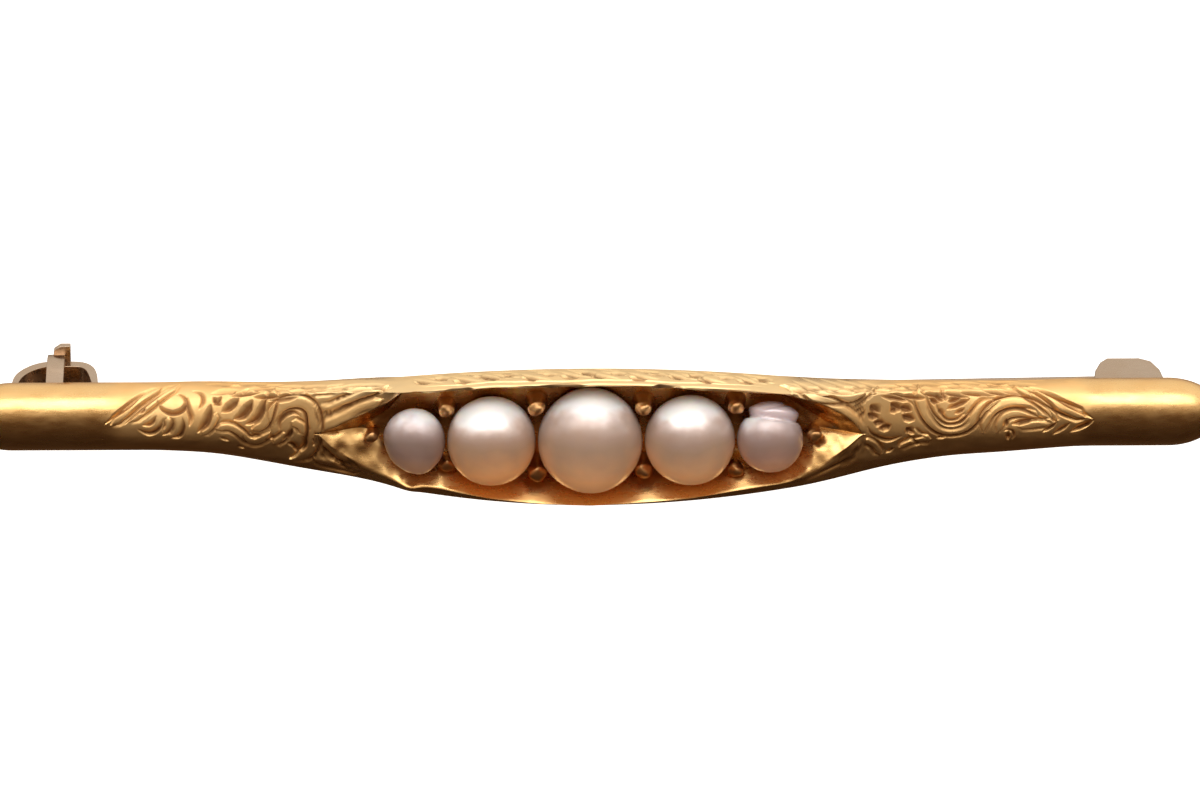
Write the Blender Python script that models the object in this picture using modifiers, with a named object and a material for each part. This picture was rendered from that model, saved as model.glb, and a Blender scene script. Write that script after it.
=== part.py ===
"""A gold bar pin: boat-shaped pearl setting on a round bar, with hinge, catch and pin stem.

The pin lies on its back with its face up. X runs along the bar, Y across it, and Z out of its face.
The origin is under the middle pearl, on the surface that the hinge and the catch rest on.
"""
import math

import bmesh
import bpy
from mathutils import Matrix, Vector

MM = 0.001

# Bar
BAR_LENGTH = 36.0 * MM
TUBE_RADIUS = 0.97 * MM
BAR_TIP_LENGTH = 1.5 * MM
TIP_FLAT_SHARE = 0.12
REAR_REACH = 2.3 * MM

# Boat-shaped setting in the middle of the bar
SETTING_LENGTH = 10.7 * MM
SETTING_HALF_WIDTH = 1.97 * MM
SETTING_HEIGHT = 1.78 * MM
CORNER_HALF_WIDTH = 1.58 * MM
CORNER_HEIGHT = 1.50 * MM
RIM_THICKNESS = 0.15 * MM
RIM_CROWN = 0.05 * MM
BED_HEIGHT = 0.62 * MM
BED_WALL_SLOPE = 0.42 * MM
POINTED_END_LENGTH = 2.40 * MM
CUT_POINT_HALF_WIDTH = 0.02 * MM
LEFT_SHOULDER_LENGTH = 6.95 * MM
RIGHT_SHOULDER_LENGTH = 8.55 * MM

# Pearls, from left to right
PEARL_SEAT_GAP = 0.05 * MM
PEARL_SPACING_GAP = 0.04 * MM
PEARL_GIRDLE_HEIGHT = 1.50 * MM
CENTRE_PEARL_RADIUS = 1.50 * MM
INNER_PEARL_RADIUS = 1.28 * MM
OUTER_PEARL_RADIUS = 0.93 * MM
PEARL_SIDES = 16

# Grain beads that hold the pearls
GRAIN_RADIUS = 0.21 * MM
GRAIN_POST_RADIUS = 0.15 * MM
GRAIN_ROOT_DEPTH = 0.10 * MM
GRAIN_SIDES = 10

# Hinge behind the right end
HINGE_INSET = 2.55 * MM
HINGE_LENGTH = 2.05 * MM
HINGE_HALF_WIDTH = 0.46 * MM
HINGE_EAR_THICKNESS = 0.18 * MM
HINGE_WEB_THICKNESS = 0.16 * MM
RIVET_RADIUS = 0.16 * MM
RIVET_DEPTH = 1.62 * MM
SOLDER_GAP = 0.04 * MM
RUNNING_GAP = 0.05 * MM

# Pin stem
STEM_RADIUS = 0.22 * MM
STEM_POINT_LENGTH = 2.4 * MM
STEM_POINT_RADIUS = 0.03 * MM
STEM_OVERHANG = 1.5 * MM
KNUCKLE_WALL = 0.2 * MM

# Catch behind the left end
CATCH_INSET = 2.68 * MM
BOW_WIDTH = 2.48 * MM
BOW_THICKNESS = 0.30 * MM
BOW_FRONT_EDGE = 0.56 * MM
BOW_STRIP_WIDTH = 0.54 * MM
BOW_ABOVE_REST = 0.10 * MM
HOOK_WIDTH = 0.50 * MM
HOOK_THICKNESS = 0.22 * MM
HOOK_HALF_SPAN = 0.90 * MM
STEM_IN_CATCH_OFFSET = -0.46 * MM
TAB_REACH = 1.10 * MM
TAB_THICKNESS = 0.20 * MM
TAB_OFFSET = 0.14 * MM
TAB_CORNER_CUT = 0.14 * MM

# Mesh fineness
SECTION_POINTS = 32
SHOULDER_RINGS = 10
SETTING_RINGS = 12
POINTED_END_RINGS = 6
TIP_RINGS = 5

SETTING_REACH = SETTING_LENGTH / 2
BAR_REACH = BAR_LENGTH / 2
HINGE_PLACE = BAR_REACH - HINGE_INSET
CATCH_PLACE = CATCH_INSET - BAR_REACH

# Sections of each shoulder, from the setting's corner (along 0) to the plain tube (along 1).
# width: from the tube's radius (0) to the corner's half width (1).
# height: of the widest line, as a share of the corner's height.
# crown: of the front above the widest line, as a share of the tube's radius.
SHOULDER_COLUMNS = ("along", "width", "height", "crown")
LEFT_SHOULDER = (
    (0.00, 1.00, 1.00, 0.06),
    (0.12, 0.83, 0.79, 0.06),
    (0.22, 0.68, 0.71, 0.08),
    (0.32, 0.53, 0.65, 0.12),
    (0.42, 0.42, 0.57, 0.20),
    (0.52, 0.32, 0.45, 0.38),
    (0.63, 0.22, 0.29, 0.64),
    (0.73, 0.14, 0.13, 0.86),
    (0.83, 0.08, 0.03, 1.00),
    (1.00, 0.00, 0.00, 1.00),
)
RIGHT_SHOULDER = (
    (0.00, 1.00, 1.08, 0.06),
    (0.08, 0.87, 1.03, 0.06),
    (0.16, 0.71, 0.95, 0.06),
    (0.25, 0.56, 0.80, 0.07),
    (0.33, 0.43, 0.66, 0.12),
    (0.41, 0.32, 0.55, 0.22),
    (0.50, 0.23, 0.43, 0.42),
    (0.58, 0.16, 0.34, 0.54),
    (0.75, 0.08, 0.25, 0.68),
    (0.87, 0.02, 0.15, 0.82),
    (1.00, 0.00, 0.00, 1.00),
)

# Pearls: name, radius, and the shares of it along the bar, across it and in height.
PEARL_COLUMNS = ("name", "radius", "along", "across", "tall")
PEARLS = (
    ("pearl_outer_left", OUTER_PEARL_RADIUS, 0.96, 1.04, 0.98),
    ("pearl_inner_left", INNER_PEARL_RADIUS, 0.99, 1.01, 1.00),
    ("pearl_centre", CENTRE_PEARL_RADIUS, 1.00, 1.01, 1.00),
    ("pearl_inner_right", INNER_PEARL_RADIUS, 1.01, 1.02, 1.00),
    ("pearl_outer_right", OUTER_PEARL_RADIUS, 1.02, 1.03, 0.98),
)

# Grains: the two pearls that one sits between, its place across the bed as a share of the
# setting's half width, its height as a share of the pearls' girdle height, and its size.
GRAIN_COLUMNS = ("left_pearl", "across", "height", "size")
GRAINS = (
    (0, 0.45, 0.84, 0.95),
    (0, -0.46, 0.84, 0.95),
    (1, 0.54, 1.00, 1.00),
    (1, -0.54, 1.00, 1.05),
    (2, 0.52, 0.96, 1.00),
    (2, -0.52, 0.96, 1.05),
    (3, 0.52, 0.93, 0.95),
    (3, -0.53, 0.93, 0.95),
)
END_GRAIN_STANDOFF = 0.32 * MM
END_GRAIN_HEIGHT = 1.24 * MM
END_GRAIN_SHARES = (0.7, 0.85)


def rows(columns, table):
    """The rows of a table with each value under its column's name."""
    return [dict(zip(columns, values)) for values in table]


def start_scene():
    """Empty the scene and make the collections for parts and cutters."""
    for old in list(bpy.data.objects):
        bpy.data.objects.remove(old, do_unlink=True)
    parts = bpy.data.collections.new("lingerie_pin")
    cutters = bpy.data.collections.new("cutters")
    bpy.context.scene.collection.children.link(parts)
    bpy.context.scene.collection.children.link(cutters)
    return parts, cutters


def metal(name, colour, roughness):
    material = bpy.data.materials.new(name)
    material.use_nodes = True
    shader = material.node_tree.nodes["Principled BSDF"]
    shader.inputs["Base Color"].default_value = (*colour, 1.0)
    shader.inputs["Metallic"].default_value = 1.0
    shader.inputs["Roughness"].default_value = roughness
    return material


def pearl_nacre(name, colour):
    material = bpy.data.materials.new(name)
    material.use_nodes = True
    shader = material.node_tree.nodes["Principled BSDF"]
    shader.inputs["Base Color"].default_value = (*colour, 1.0)
    shader.inputs["Metallic"].default_value = 0.0
    shader.inputs["Roughness"].default_value = 0.28
    shader.inputs["Coat Weight"].default_value = 0.5
    return material


def link_mesh(name, mesh, collection, location=(0.0, 0.0, 0.0)):
    obj = bpy.data.objects.new(name, mesh)
    obj.location = location
    collection.objects.link(obj)
    return obj


def mesh_from_bmesh(name, bm):
    bmesh.ops.recalc_face_normals(bm, faces=bm.faces)
    mesh = bpy.data.meshes.new(name)
    bm.to_mesh(mesh)
    bm.free()
    return mesh


def shade(obj, angle_degrees=35.0):
    obj.data.shade_smooth()
    obj.data.set_sharp_from_angle(angle=math.radians(angle_degrees))


def loft(name, rings):
    """Closed mesh through rings of as many points each, with a flat cap on both ends."""
    bm = bmesh.new()
    loops = [[bm.verts.new(point) for point in ring] for ring in rings]
    for near, far in zip(loops, loops[1:]):
        for i in range(len(near)):
            j = (i + 1) % len(near)
            bm.faces.new((near[i], near[j], far[j], far[i]))
    bm.faces.new(loops[0])
    bm.faces.new(loops[-1])
    return mesh_from_bmesh(name, bm)


def hide_cutter(obj):
    obj.hide_render = True
    obj.display_type = "WIRE"
    return obj


def combine(obj, other, operation):
    """Apply one Boolean of a cutter or a piece to an object, and keep the result as its mesh."""
    modifier = obj.modifiers.new(operation.lower(), "BOOLEAN")
    modifier.operation = operation
    modifier.solver = "EXACT"
    modifier.object = other
    bpy.context.view_layer.update()
    depsgraph = bpy.context.evaluated_depsgraph_get()
    result = bpy.data.meshes.new_from_object(obj.evaluated_get(depsgraph))
    obj.modifiers.remove(modifier)
    obj.data = result


def flat_outline(name, points, thickness, collection, matrix):
    """A plate with a flat outline, as a filled curve that is then made a mesh."""
    curve = bpy.data.curves.new(name, "CURVE")
    curve.dimensions = "2D"
    curve.fill_mode = "BOTH"
    curve.extrude = thickness / 2
    spline = curve.splines.new("POLY")
    spline.points.add(len(points) - 1)
    for point, (u, v) in zip(spline.points, points):
        point.co = (u, v, 0.0, 1.0)
    spline.use_cyclic_u = True
    guide = bpy.data.objects.new(name + "_outline", curve)
    guide.matrix_world = matrix
    collection.objects.link(guide)
    bpy.context.view_layer.update()
    depsgraph = bpy.context.evaluated_depsgraph_get()
    mesh = bpy.data.meshes.new_from_object(guide.evaluated_get(depsgraph))
    bm = bmesh.new()
    bm.from_mesh(mesh)
    bmesh.ops.remove_doubles(bm, verts=bm.verts, dist=0.001 * MM)
    bmesh.ops.transform(bm, matrix=guide.matrix_world, verts=bm.verts)
    bpy.data.objects.remove(guide, do_unlink=True)
    return link_mesh(name, mesh_from_bmesh(name, bm), collection)


def cylinder_across(name, radius, length, centre, sides, collection, axis):
    """A cylinder along X or along Y."""
    turn = Matrix.Rotation(math.pi / 2, 4, "Y" if axis == "X" else "X")
    bm = bmesh.new()
    bmesh.ops.create_cone(bm, cap_ends=True, segments=sides, radius1=radius, radius2=radius,
                          depth=length, matrix=Matrix.Translation(centre) @ turn)
    return link_mesh(name, mesh_from_bmesh(name, bm), collection)


def blend(low, high, share):
    return low + (high - low) * share


def between_rows(table, along):
    """The row of a section table at a place, blended from the rows on both sides of it."""
    for low, high in zip(table, table[1:]):
        if along <= high["along"]:
            share = (along - low["along"]) / (high["along"] - low["along"])
            return {column: blend(low[column], high[column], share) for column in low}
    return table[-1]


def tip_share(x):
    """Share of the tube's radius that is left at a place on a rounded tip, or 1 before it."""
    inside_tip = max(0.0, abs(x) - (BAR_REACH - BAR_TIP_LENGTH))
    return max(TIP_FLAT_SHARE, math.sqrt(max(0.0, 1.0 - (inside_tip / BAR_TIP_LENGTH) ** 2)))


def section_sizes(x):
    """Half width, height of the widest line and crown of the bar's section at x."""
    reach = abs(x)
    left = x < 0
    table = rows(SHOULDER_COLUMNS, LEFT_SHOULDER if left else RIGHT_SHOULDER)
    shoulder = LEFT_SHOULDER_LENGTH if left else RIGHT_SHOULDER_LENGTH
    if reach <= SETTING_REACH:
        bulge = 1.0 - (reach / SETTING_REACH) ** 2
        corner_height = CORNER_HEIGHT * table[0]["height"]
        half_width = blend(CORNER_HALF_WIDTH, SETTING_HALF_WIDTH, bulge)
        return half_width, blend(corner_height, SETTING_HEIGHT, bulge), RIM_CROWN
    along = min(1.0, (reach - SETTING_REACH) / shoulder)
    row = between_rows(table, along)
    half_width = blend(TUBE_RADIUS, CORNER_HALF_WIDTH, row["width"])
    height = CORNER_HEIGHT * row["height"]
    crown = TUBE_RADIUS * row["crown"]
    return half_width * tip_share(x), height, crown * tip_share(x)


def back_depth(x):
    """Depth of the bar's back below its axis, which is straight up to the rounded tips."""
    return TUBE_RADIUS * tip_share(x)


def bar_ring(x):
    """Section of the bar at x: an elliptical front on a deeper elliptical back."""
    half_width, height, crown = section_sizes(x)
    ring = []
    for i in range(SECTION_POINTS):
        turn = 2 * math.pi * i / SECTION_POINTS
        rise = crown if math.cos(turn) > 0 else height + back_depth(x)
        ring.append(Vector((x, half_width * math.sin(turn), REAR_REACH + height + rise * math.cos(turn))))
    return ring


def bar_stations():
    """Places along the bar where it has a section, from left to right."""
    shares = [math.sin(math.pi / 2 * i / TIP_RINGS) for i in range(TIP_RINGS)]
    tips = [BAR_REACH - BAR_TIP_LENGTH * (1 - share) for share in shares] + [BAR_REACH]
    stations = [-SETTING_REACH + SETTING_LENGTH * i / SETTING_RINGS for i in range(SETTING_RINGS + 1)]
    for side, length in ((-1, LEFT_SHOULDER_LENGTH), (1, RIGHT_SHOULDER_LENGTH)):
        for i in range(1, SHOULDER_RINGS + 1):
            stations.append(side * (SETTING_REACH + length * i / SHOULDER_RINGS))
        stations.extend(side * place for place in tips)
    return sorted(set(stations))


def front_height(x, y):
    """Height of the bar's front above its axis at a place, within its outline."""
    half_width, height, crown = section_sizes(x)
    inside = max(0.0, 1.0 - (y / half_width) ** 2)
    return height + crown * math.sqrt(inside)


def pocket_ring(x):
    """Section of the space cut out of the setting, with its pointed ends."""
    half_width = section_sizes(x)[0]
    beyond = min(1.0, max(0.0, abs(x) - SETTING_REACH) / POINTED_END_LENGTH)
    taper = (1.0 - beyond) ** 0.9
    mouth = max(CUT_POINT_HALF_WIDTH, (half_width - RIM_THICKNESS) * taper)
    bed = max(CUT_POINT_HALF_WIDTH / 2, (mouth - BED_WALL_SLOPE * (1.0 + beyond)) * (1.0 - beyond))
    rim = front_height(x, mouth)
    floor = blend(BED_HEIGHT, rim - CUT_POINT_HALF_WIDTH / 2, beyond ** 2)
    above = SETTING_HEIGHT + CENTRE_PEARL_RADIUS
    outline = ((-mouth, above), (-mouth, rim), (-bed, floor), (bed, floor), (mouth, rim), (mouth, above))
    return [Vector((x, y, REAR_REACH + z)) for y, z in outline]


def pocket_stations():
    steps = 2 * SETTING_RINGS
    places = [-SETTING_REACH + SETTING_LENGTH * i / steps for i in range(steps + 1)]
    for i in range(1, POINTED_END_RINGS + 1):
        reach = SETTING_REACH + POINTED_END_LENGTH * i / POINTED_END_RINGS
        places.extend((-reach, reach))
    return sorted(places)


def pearl_places():
    """Centre of each pearl along the bar, side by side from the middle one outwards."""
    sizes = [pearl["radius"] * pearl["along"] for pearl in rows(PEARL_COLUMNS, PEARLS)]
    middle = len(PEARLS) // 2
    places = [0.0] * len(PEARLS)
    for i in range(middle + 1, len(PEARLS)):
        places[i] = places[i - 1] + sizes[i - 1] + sizes[i] + PEARL_SPACING_GAP
    for i in range(middle - 1, -1, -1):
        places[i] = places[i + 1] - sizes[i + 1] - sizes[i] - PEARL_SPACING_GAP
    return places


def pearl_mesh(name, pearl, extra):
    """A slightly uneven pearl, grown by an extra radius where it serves as a seat cutter."""
    bm = bmesh.new()
    bmesh.ops.create_uvsphere(bm, u_segments=PEARL_SIDES, v_segments=PEARL_SIDES // 2 + 1,
                              radius=1.0, matrix=Matrix.Rotation(math.pi / 2, 4, "X"))
    scale = Vector(pearl["radius"] * pearl[side] + extra for side in ("along", "across", "tall"))
    bmesh.ops.scale(bm, vec=scale, verts=bm.verts)
    return mesh_from_bmesh(name, bm)


def grain_mesh(name, centre, foot, radius):
    """A round bead of metal on a post that leans into the wall of the bed."""
    bm = bmesh.new()
    bmesh.ops.create_uvsphere(bm, u_segments=GRAIN_SIDES, v_segments=GRAIN_SIDES // 2 + 1,
                              radius=radius, matrix=Matrix.Translation(centre))
    bead = mesh_from_bmesh(name, bm)
    bm = bmesh.new()
    post = centre - foot
    turn = Vector((0, 0, 1)).rotation_difference(post).to_matrix().to_4x4()
    bmesh.ops.create_cone(bm, cap_ends=True, segments=GRAIN_SIDES, radius1=GRAIN_POST_RADIUS * 1.3,
                          radius2=GRAIN_POST_RADIUS, depth=post.length,
                          matrix=Matrix.Translation((centre + foot) / 2) @ turn)
    return bead, mesh_from_bmesh(name + "_post", bm)


def grain_centres():
    """Centre and radius of each grain: pairs between the pearls, and one at each end."""
    places = pearl_places()
    sizes = [pearl["radius"] * pearl["along"] for pearl in rows(PEARL_COLUMNS, PEARLS)]
    grains = []
    for grain in rows(GRAIN_COLUMNS, GRAINS):
        left = grain["left_pearl"]
        between = (places[left] + sizes[left] + places[left + 1] - sizes[left + 1]) / 2
        across = grain["across"] * SETTING_HALF_WIDTH
        centre = Vector((between, across, REAR_REACH + grain["height"] * PEARL_GIRDLE_HEIGHT))
        grains.append((centre, GRAIN_RADIUS * grain["size"]))
    for side, pearl, size in ((-1, 0, END_GRAIN_SHARES[0]), (1, -1, END_GRAIN_SHARES[1])):
        x = places[pearl] + side * (sizes[pearl] + END_GRAIN_STANDOFF)
        grains.append((Vector((x, 0.0, REAR_REACH + END_GRAIN_HEIGHT)), GRAIN_RADIUS * size))
    return grains


def make_bar(parts, cutters, gold):
    bar = link_mesh("bar_body", loft("bar_body", [bar_ring(x) for x in bar_stations()]), parts)
    pocket = link_mesh("pocket", loft("pocket", [pocket_ring(x) for x in pocket_stations()]), cutters)
    combine(bar, hide_cutter(pocket), "DIFFERENCE")
    for index, (centre, radius) in enumerate(grain_centres()):
        foot = Vector((centre.x, centre.y * 1.15, REAR_REACH + BED_HEIGHT - GRAIN_ROOT_DEPTH))
        for mesh in grain_mesh("grain_%d" % index, centre, foot, radius):
            piece = link_mesh(mesh.name, mesh, cutters)
            combine(bar, hide_cutter(piece), "UNION")
    for x, pearl in zip(pearl_places(), rows(PEARL_COLUMNS, PEARLS)):
        name = pearl["name"] + "_seat"
        seat = link_mesh(name, pearl_mesh(name, pearl, PEARL_SEAT_GAP), cutters,
                         (x, 0.0, REAR_REACH + PEARL_GIRDLE_HEIGHT))
        combine(bar, hide_cutter(seat), "DIFFERENCE")
    shade(bar)
    bar.data.materials.append(gold)


def make_pearls(parts, nacre):
    for x, pearl in zip(pearl_places(), rows(PEARL_COLUMNS, PEARLS)):
        piece = link_mesh(pearl["name"], pearl_mesh(pearl["name"], pearl, 0.0), parts,
                          (x, 0.0, REAR_REACH + PEARL_GIRDLE_HEIGHT))
        piece.data.shade_smooth()
        piece.data.materials.append(nacre)


def bar_clearance(cutters, centre, length):
    """A round cutter on the bar's axis that leaves the solder seam below it."""
    place = Vector((centre, 0.0, REAR_REACH))
    cutter = cylinder_across("bar_clearance", TUBE_RADIUS + SOLDER_GAP, length, place, 48, cutters, "X")
    return hide_cutter(cutter)


def side_plane(x, y):
    """Frame of a plate that stands along the bar: outline in X and Z, thickness along Y."""
    return Matrix.Translation((x, y, REAR_REACH)) @ Matrix.Rotation(math.pi / 2, 4, "X")


def cross_plane(x):
    """Frame of a plate that stands across the bar: outline in Y and Z, thickness along X."""
    turn = Matrix(((0, 0, 1), (1, 0, 0), (0, 1, 0))).to_4x4()
    return Matrix.Translation((x, 0.0, REAR_REACH)) @ turn


def hinge_outline():
    """Low arch of an ear, flat where it rests, with its outer side cut away more steeply."""
    half = HINGE_LENGTH / 2
    reach = REAR_REACH
    top = TUBE_RADIUS * 0.7
    shape = ((-1.0, top), (-1.0, TUBE_RADIUS), (-0.92, reach * 0.70), (-0.76, reach * 0.90), (-0.56, reach),
             (0.34, reach), (0.66, reach * 0.92), (0.88, reach * 0.72), (1.0, TUBE_RADIUS), (1.0, top))
    return [(share * half, -depth) for share, depth in shape]


def make_hinge(parts, cutters, pale_gold):
    hinge = flat_outline("hinge", hinge_outline(), 2 * HINGE_HALF_WIDTH, parts, side_plane(HINGE_PLACE, 0.0))
    slot_half = HINGE_HALF_WIDTH - HINGE_EAR_THICKNESS
    web = TUBE_RADIUS + SOLDER_GAP + HINGE_WEB_THICKNESS
    slot_depth = REAR_REACH * 2
    bm = bmesh.new()
    bmesh.ops.create_cube(bm, size=1.0)
    bmesh.ops.scale(bm, vec=(HINGE_LENGTH * 2, slot_half * 2, slot_depth), verts=bm.verts)
    slot = link_mesh("hinge_slot", mesh_from_bmesh("hinge_slot", bm), cutters,
                     (HINGE_PLACE, 0.0, REAR_REACH - web - slot_depth / 2))
    combine(hinge, hide_cutter(slot), "DIFFERENCE")
    combine(hinge, bar_clearance(cutters, HINGE_PLACE, HINGE_LENGTH * 2), "DIFFERENCE")
    rivet = cylinder_across("rivet", RIVET_RADIUS, 2 * HINGE_HALF_WIDTH - HINGE_EAR_THICKNESS,
                            (HINGE_PLACE, 0.0, REAR_REACH - RIVET_DEPTH), 16, cutters, "Y")
    combine(hinge, hide_cutter(rivet), "UNION")
    shade(hinge)
    hinge.data.materials.append(pale_gold)


def make_stem(parts, cutters, pale_gold):
    """One plain piece: an eye round the rivet and a straight stem to its point past the catch."""
    height = REAR_REACH - RIVET_DEPTH
    eye = Vector((HINGE_PLACE, 0.0, height))
    end = Vector((CATCH_PLACE, STEM_IN_CATCH_OFFSET, height))
    direction = (end - eye).normalized()
    length = (end - eye).length + STEM_OVERHANG
    turn = Vector((0, 0, 1)).rotation_difference(direction).to_matrix().to_4x4()
    profile = ((0.0, length), (STEM_POINT_RADIUS, length), (STEM_RADIUS, length - STEM_POINT_LENGTH),
               (STEM_RADIUS, 0.0), (0.0, 0.0))
    mesh = bpy.data.meshes.new("pin_stem")
    bm = bmesh.new()
    points = [bm.verts.new((radius, 0.0, along)) for radius, along in profile]
    for near, far in zip(points, points[1:]):
        bm.edges.new((near, far))
    bm.to_mesh(mesh)
    bm.free()
    stem = link_mesh("pin_stem", mesh, parts)
    screw = stem.modifiers.new("turned", "SCREW")
    screw.angle = 2 * math.pi
    screw.steps = 12
    screw.render_steps = 12
    screw.use_merge_vertices = True
    screw.merge_threshold = 0.00001
    screw.use_normal_calculate = True
    stem.matrix_world = Matrix.Translation(eye) @ turn
    bpy.context.view_layer.update()
    depsgraph = bpy.context.evaluated_depsgraph_get()
    turned = bpy.data.meshes.new_from_object(stem.evaluated_get(depsgraph))
    turned.transform(stem.matrix_world)
    bm = bmesh.new()
    bm.from_mesh(turned)
    stem.modifiers.remove(screw)
    stem.matrix_world = Matrix.Identity(4)
    stem.data = mesh_from_bmesh("pin_stem", bm)
    hole = RIVET_RADIUS + RUNNING_GAP
    eye_width = 2 * (HINGE_HALF_WIDTH - HINGE_EAR_THICKNESS - RUNNING_GAP)
    knuckle = cylinder_across("knuckle", hole + KNUCKLE_WALL, eye_width, eye, 20, cutters, "Y")
    combine(stem, hide_cutter(knuckle), "UNION")
    bore = cylinder_across("knuckle_bore", hole, eye_width * 2, eye, 16, cutters, "Y")
    combine(stem, hide_cutter(bore), "DIFFERENCE")
    shade(stem)
    stem.data.materials.append(pale_gold)


def bow_outline():
    """Outline of the bow along the bar: an arch of even strip on two feet."""
    half = BOW_WIDTH / 2
    foot = TUBE_RADIUS * 0.8
    arch = ((-1.0, 0.0), (-0.96, 0.28), (-0.84, 0.55), (-0.62, 0.80), (-0.36, 0.96), (-0.1, 1.0), (0.42, 1.0),
            (0.66, 0.94), (0.84, 0.76), (0.94, 0.45), (1.0, 0.0))
    depth = REAR_REACH - BOW_ABOVE_REST - TUBE_RADIUS
    inner = (half - BOW_THICKNESS) / half
    inner_depth = depth - BOW_THICKNESS
    outside = [(x * half, -TUBE_RADIUS - z * depth) for x, z in arch]
    inside = [(x * half * inner, -TUBE_RADIUS - z * inner_depth) for x, z in reversed(arch)]
    feet_out = [(half, -foot), (half * inner, -foot)]
    feet_in = [(-half * inner, -foot), (-half, -foot)]
    return outside + feet_out + inside + feet_in


def offset_strip(path, thickness):
    """Closed outline of a strip of even thickness along a path of points."""
    sides = ([], [])
    for i, point in enumerate(path):
        before = path[max(0, i - 1)]
        after = path[min(len(path) - 1, i + 1)]
        normal = Vector((before[1] - after[1], after[0] - before[0])).normalized() * thickness / 2
        sides[0].append((point[0] + normal.x, point[1] + normal.y))
        sides[1].append((point[0] - normal.x, point[1] - normal.y))
    return sides[0] + sides[1][::-1]


def hook_path():
    """Middle line of the hook across the bar, from its foot over the bow and round the stem."""
    span = HOOK_HALF_SPAN
    lowest = REAR_REACH - HOOK_THICKNESS / 2
    root = TUBE_RADIUS * 0.55
    shape = ((0.58, root), (0.74, 0.50 * lowest), (0.86, 0.64 * lowest), (0.88, 0.80 * lowest),
             (0.80, 0.93 * lowest), (0.62, lowest), (-0.60, lowest), (-0.84, 0.95 * lowest),
             (-0.98, 0.84 * lowest), (-1.0, 0.72 * lowest), (-0.92, 0.60 * lowest))
    return [(share * span, -depth) for share, depth in shape]


def tab_outline():
    """Thumb tab in plan, with its outer left corner cut off."""
    half = HOOK_WIDTH / 2
    inner = HOOK_HALF_SPAN * 0.5
    return ((-half, inner), (half, inner), (half * 1.04, TAB_REACH), (-half * 0.1, TAB_REACH),
            (-half * 0.86, TAB_REACH - TAB_CORNER_CUT))


def make_catch(parts, cutters, pale_gold):
    """Bow, hook and thumb tab, soldered into one solid."""
    bow_middle = BOW_FRONT_EDGE - BOW_STRIP_WIDTH / 2
    catch = flat_outline("catch", bow_outline(), BOW_STRIP_WIDTH, parts, side_plane(CATCH_PLACE, bow_middle))
    hook = flat_outline("hook", offset_strip(hook_path(), HOOK_THICKNESS), HOOK_WIDTH, cutters,
                        cross_plane(CATCH_PLACE))
    combine(catch, hide_cutter(hook), "UNION")
    tab_frame = Matrix.Translation((CATCH_PLACE + TAB_OFFSET, 0.0, TAB_THICKNESS / 2))
    tab = flat_outline("tab", tab_outline(), TAB_THICKNESS, cutters, tab_frame)
    combine(catch, hide_cutter(tab), "UNION")
    combine(catch, bar_clearance(cutters, CATCH_PLACE, BOW_WIDTH * 2), "DIFFERENCE")
    shade(catch)
    catch.data.materials.append(pale_gold)


def main():
    parts, cutters = start_scene()
    gold = metal("yellow_gold", (0.72, 0.45, 0.13), 0.22)
    pale_gold = metal("pale_gold", (0.60, 0.52, 0.40), 0.30)
    nacre = pearl_nacre("nacre", (0.86, 0.78, 0.70))
    make_bar(parts, cutters, gold)
    make_pearls(parts, nacre)
    make_hinge(parts, cutters, pale_gold)
    make_stem(parts, cutters, pale_gold)
    make_catch(parts, cutters, pale_gold)


main()
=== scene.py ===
import math

import bmesh
import bpy
import numpy as np
from mathutils import Matrix, Vector


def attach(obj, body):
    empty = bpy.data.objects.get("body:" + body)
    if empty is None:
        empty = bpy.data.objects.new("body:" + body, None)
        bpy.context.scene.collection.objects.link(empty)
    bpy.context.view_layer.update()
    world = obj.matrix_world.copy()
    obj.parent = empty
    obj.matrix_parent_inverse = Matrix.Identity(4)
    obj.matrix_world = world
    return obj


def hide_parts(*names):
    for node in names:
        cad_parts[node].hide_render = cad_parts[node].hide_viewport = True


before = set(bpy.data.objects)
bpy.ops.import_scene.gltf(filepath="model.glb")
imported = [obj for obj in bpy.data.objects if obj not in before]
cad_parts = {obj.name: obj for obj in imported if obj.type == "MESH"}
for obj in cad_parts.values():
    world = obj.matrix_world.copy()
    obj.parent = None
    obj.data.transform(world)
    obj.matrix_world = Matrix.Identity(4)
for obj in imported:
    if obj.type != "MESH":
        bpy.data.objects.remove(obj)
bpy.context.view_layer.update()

# All lengths in this script are in millimetres until a mesh is made from them.
MM = 0.001
AXIS_HEIGHT = 2.3
BAR_REACH = 18.0
TUBE_RADIUS = 0.97
TIP_LENGTH = 1.5
SETTING_REACH = 5.35
SETTING_HALF_WIDTH = 1.97
SETTING_HEIGHT = 1.78
CORNER_HALF_WIDTH = 1.58
CORNER_HEIGHT = 1.50
RIM_THICKNESS = 0.15
RIM_CROWN = 0.05
BED_HEIGHT = 0.62
BED_WALL_SLOPES = (0.42, 0.66)
POINTED_END_LENGTH = 2.40
PEARL_HEIGHT = 1.50
PEARL_SEAT_GAP = 0.05
CAMERA_TILT = math.radians(30)
IMAGE_UP = np.array([0.0, math.cos(CAMERA_TILT), -math.sin(CAMERA_TILT)])

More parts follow.
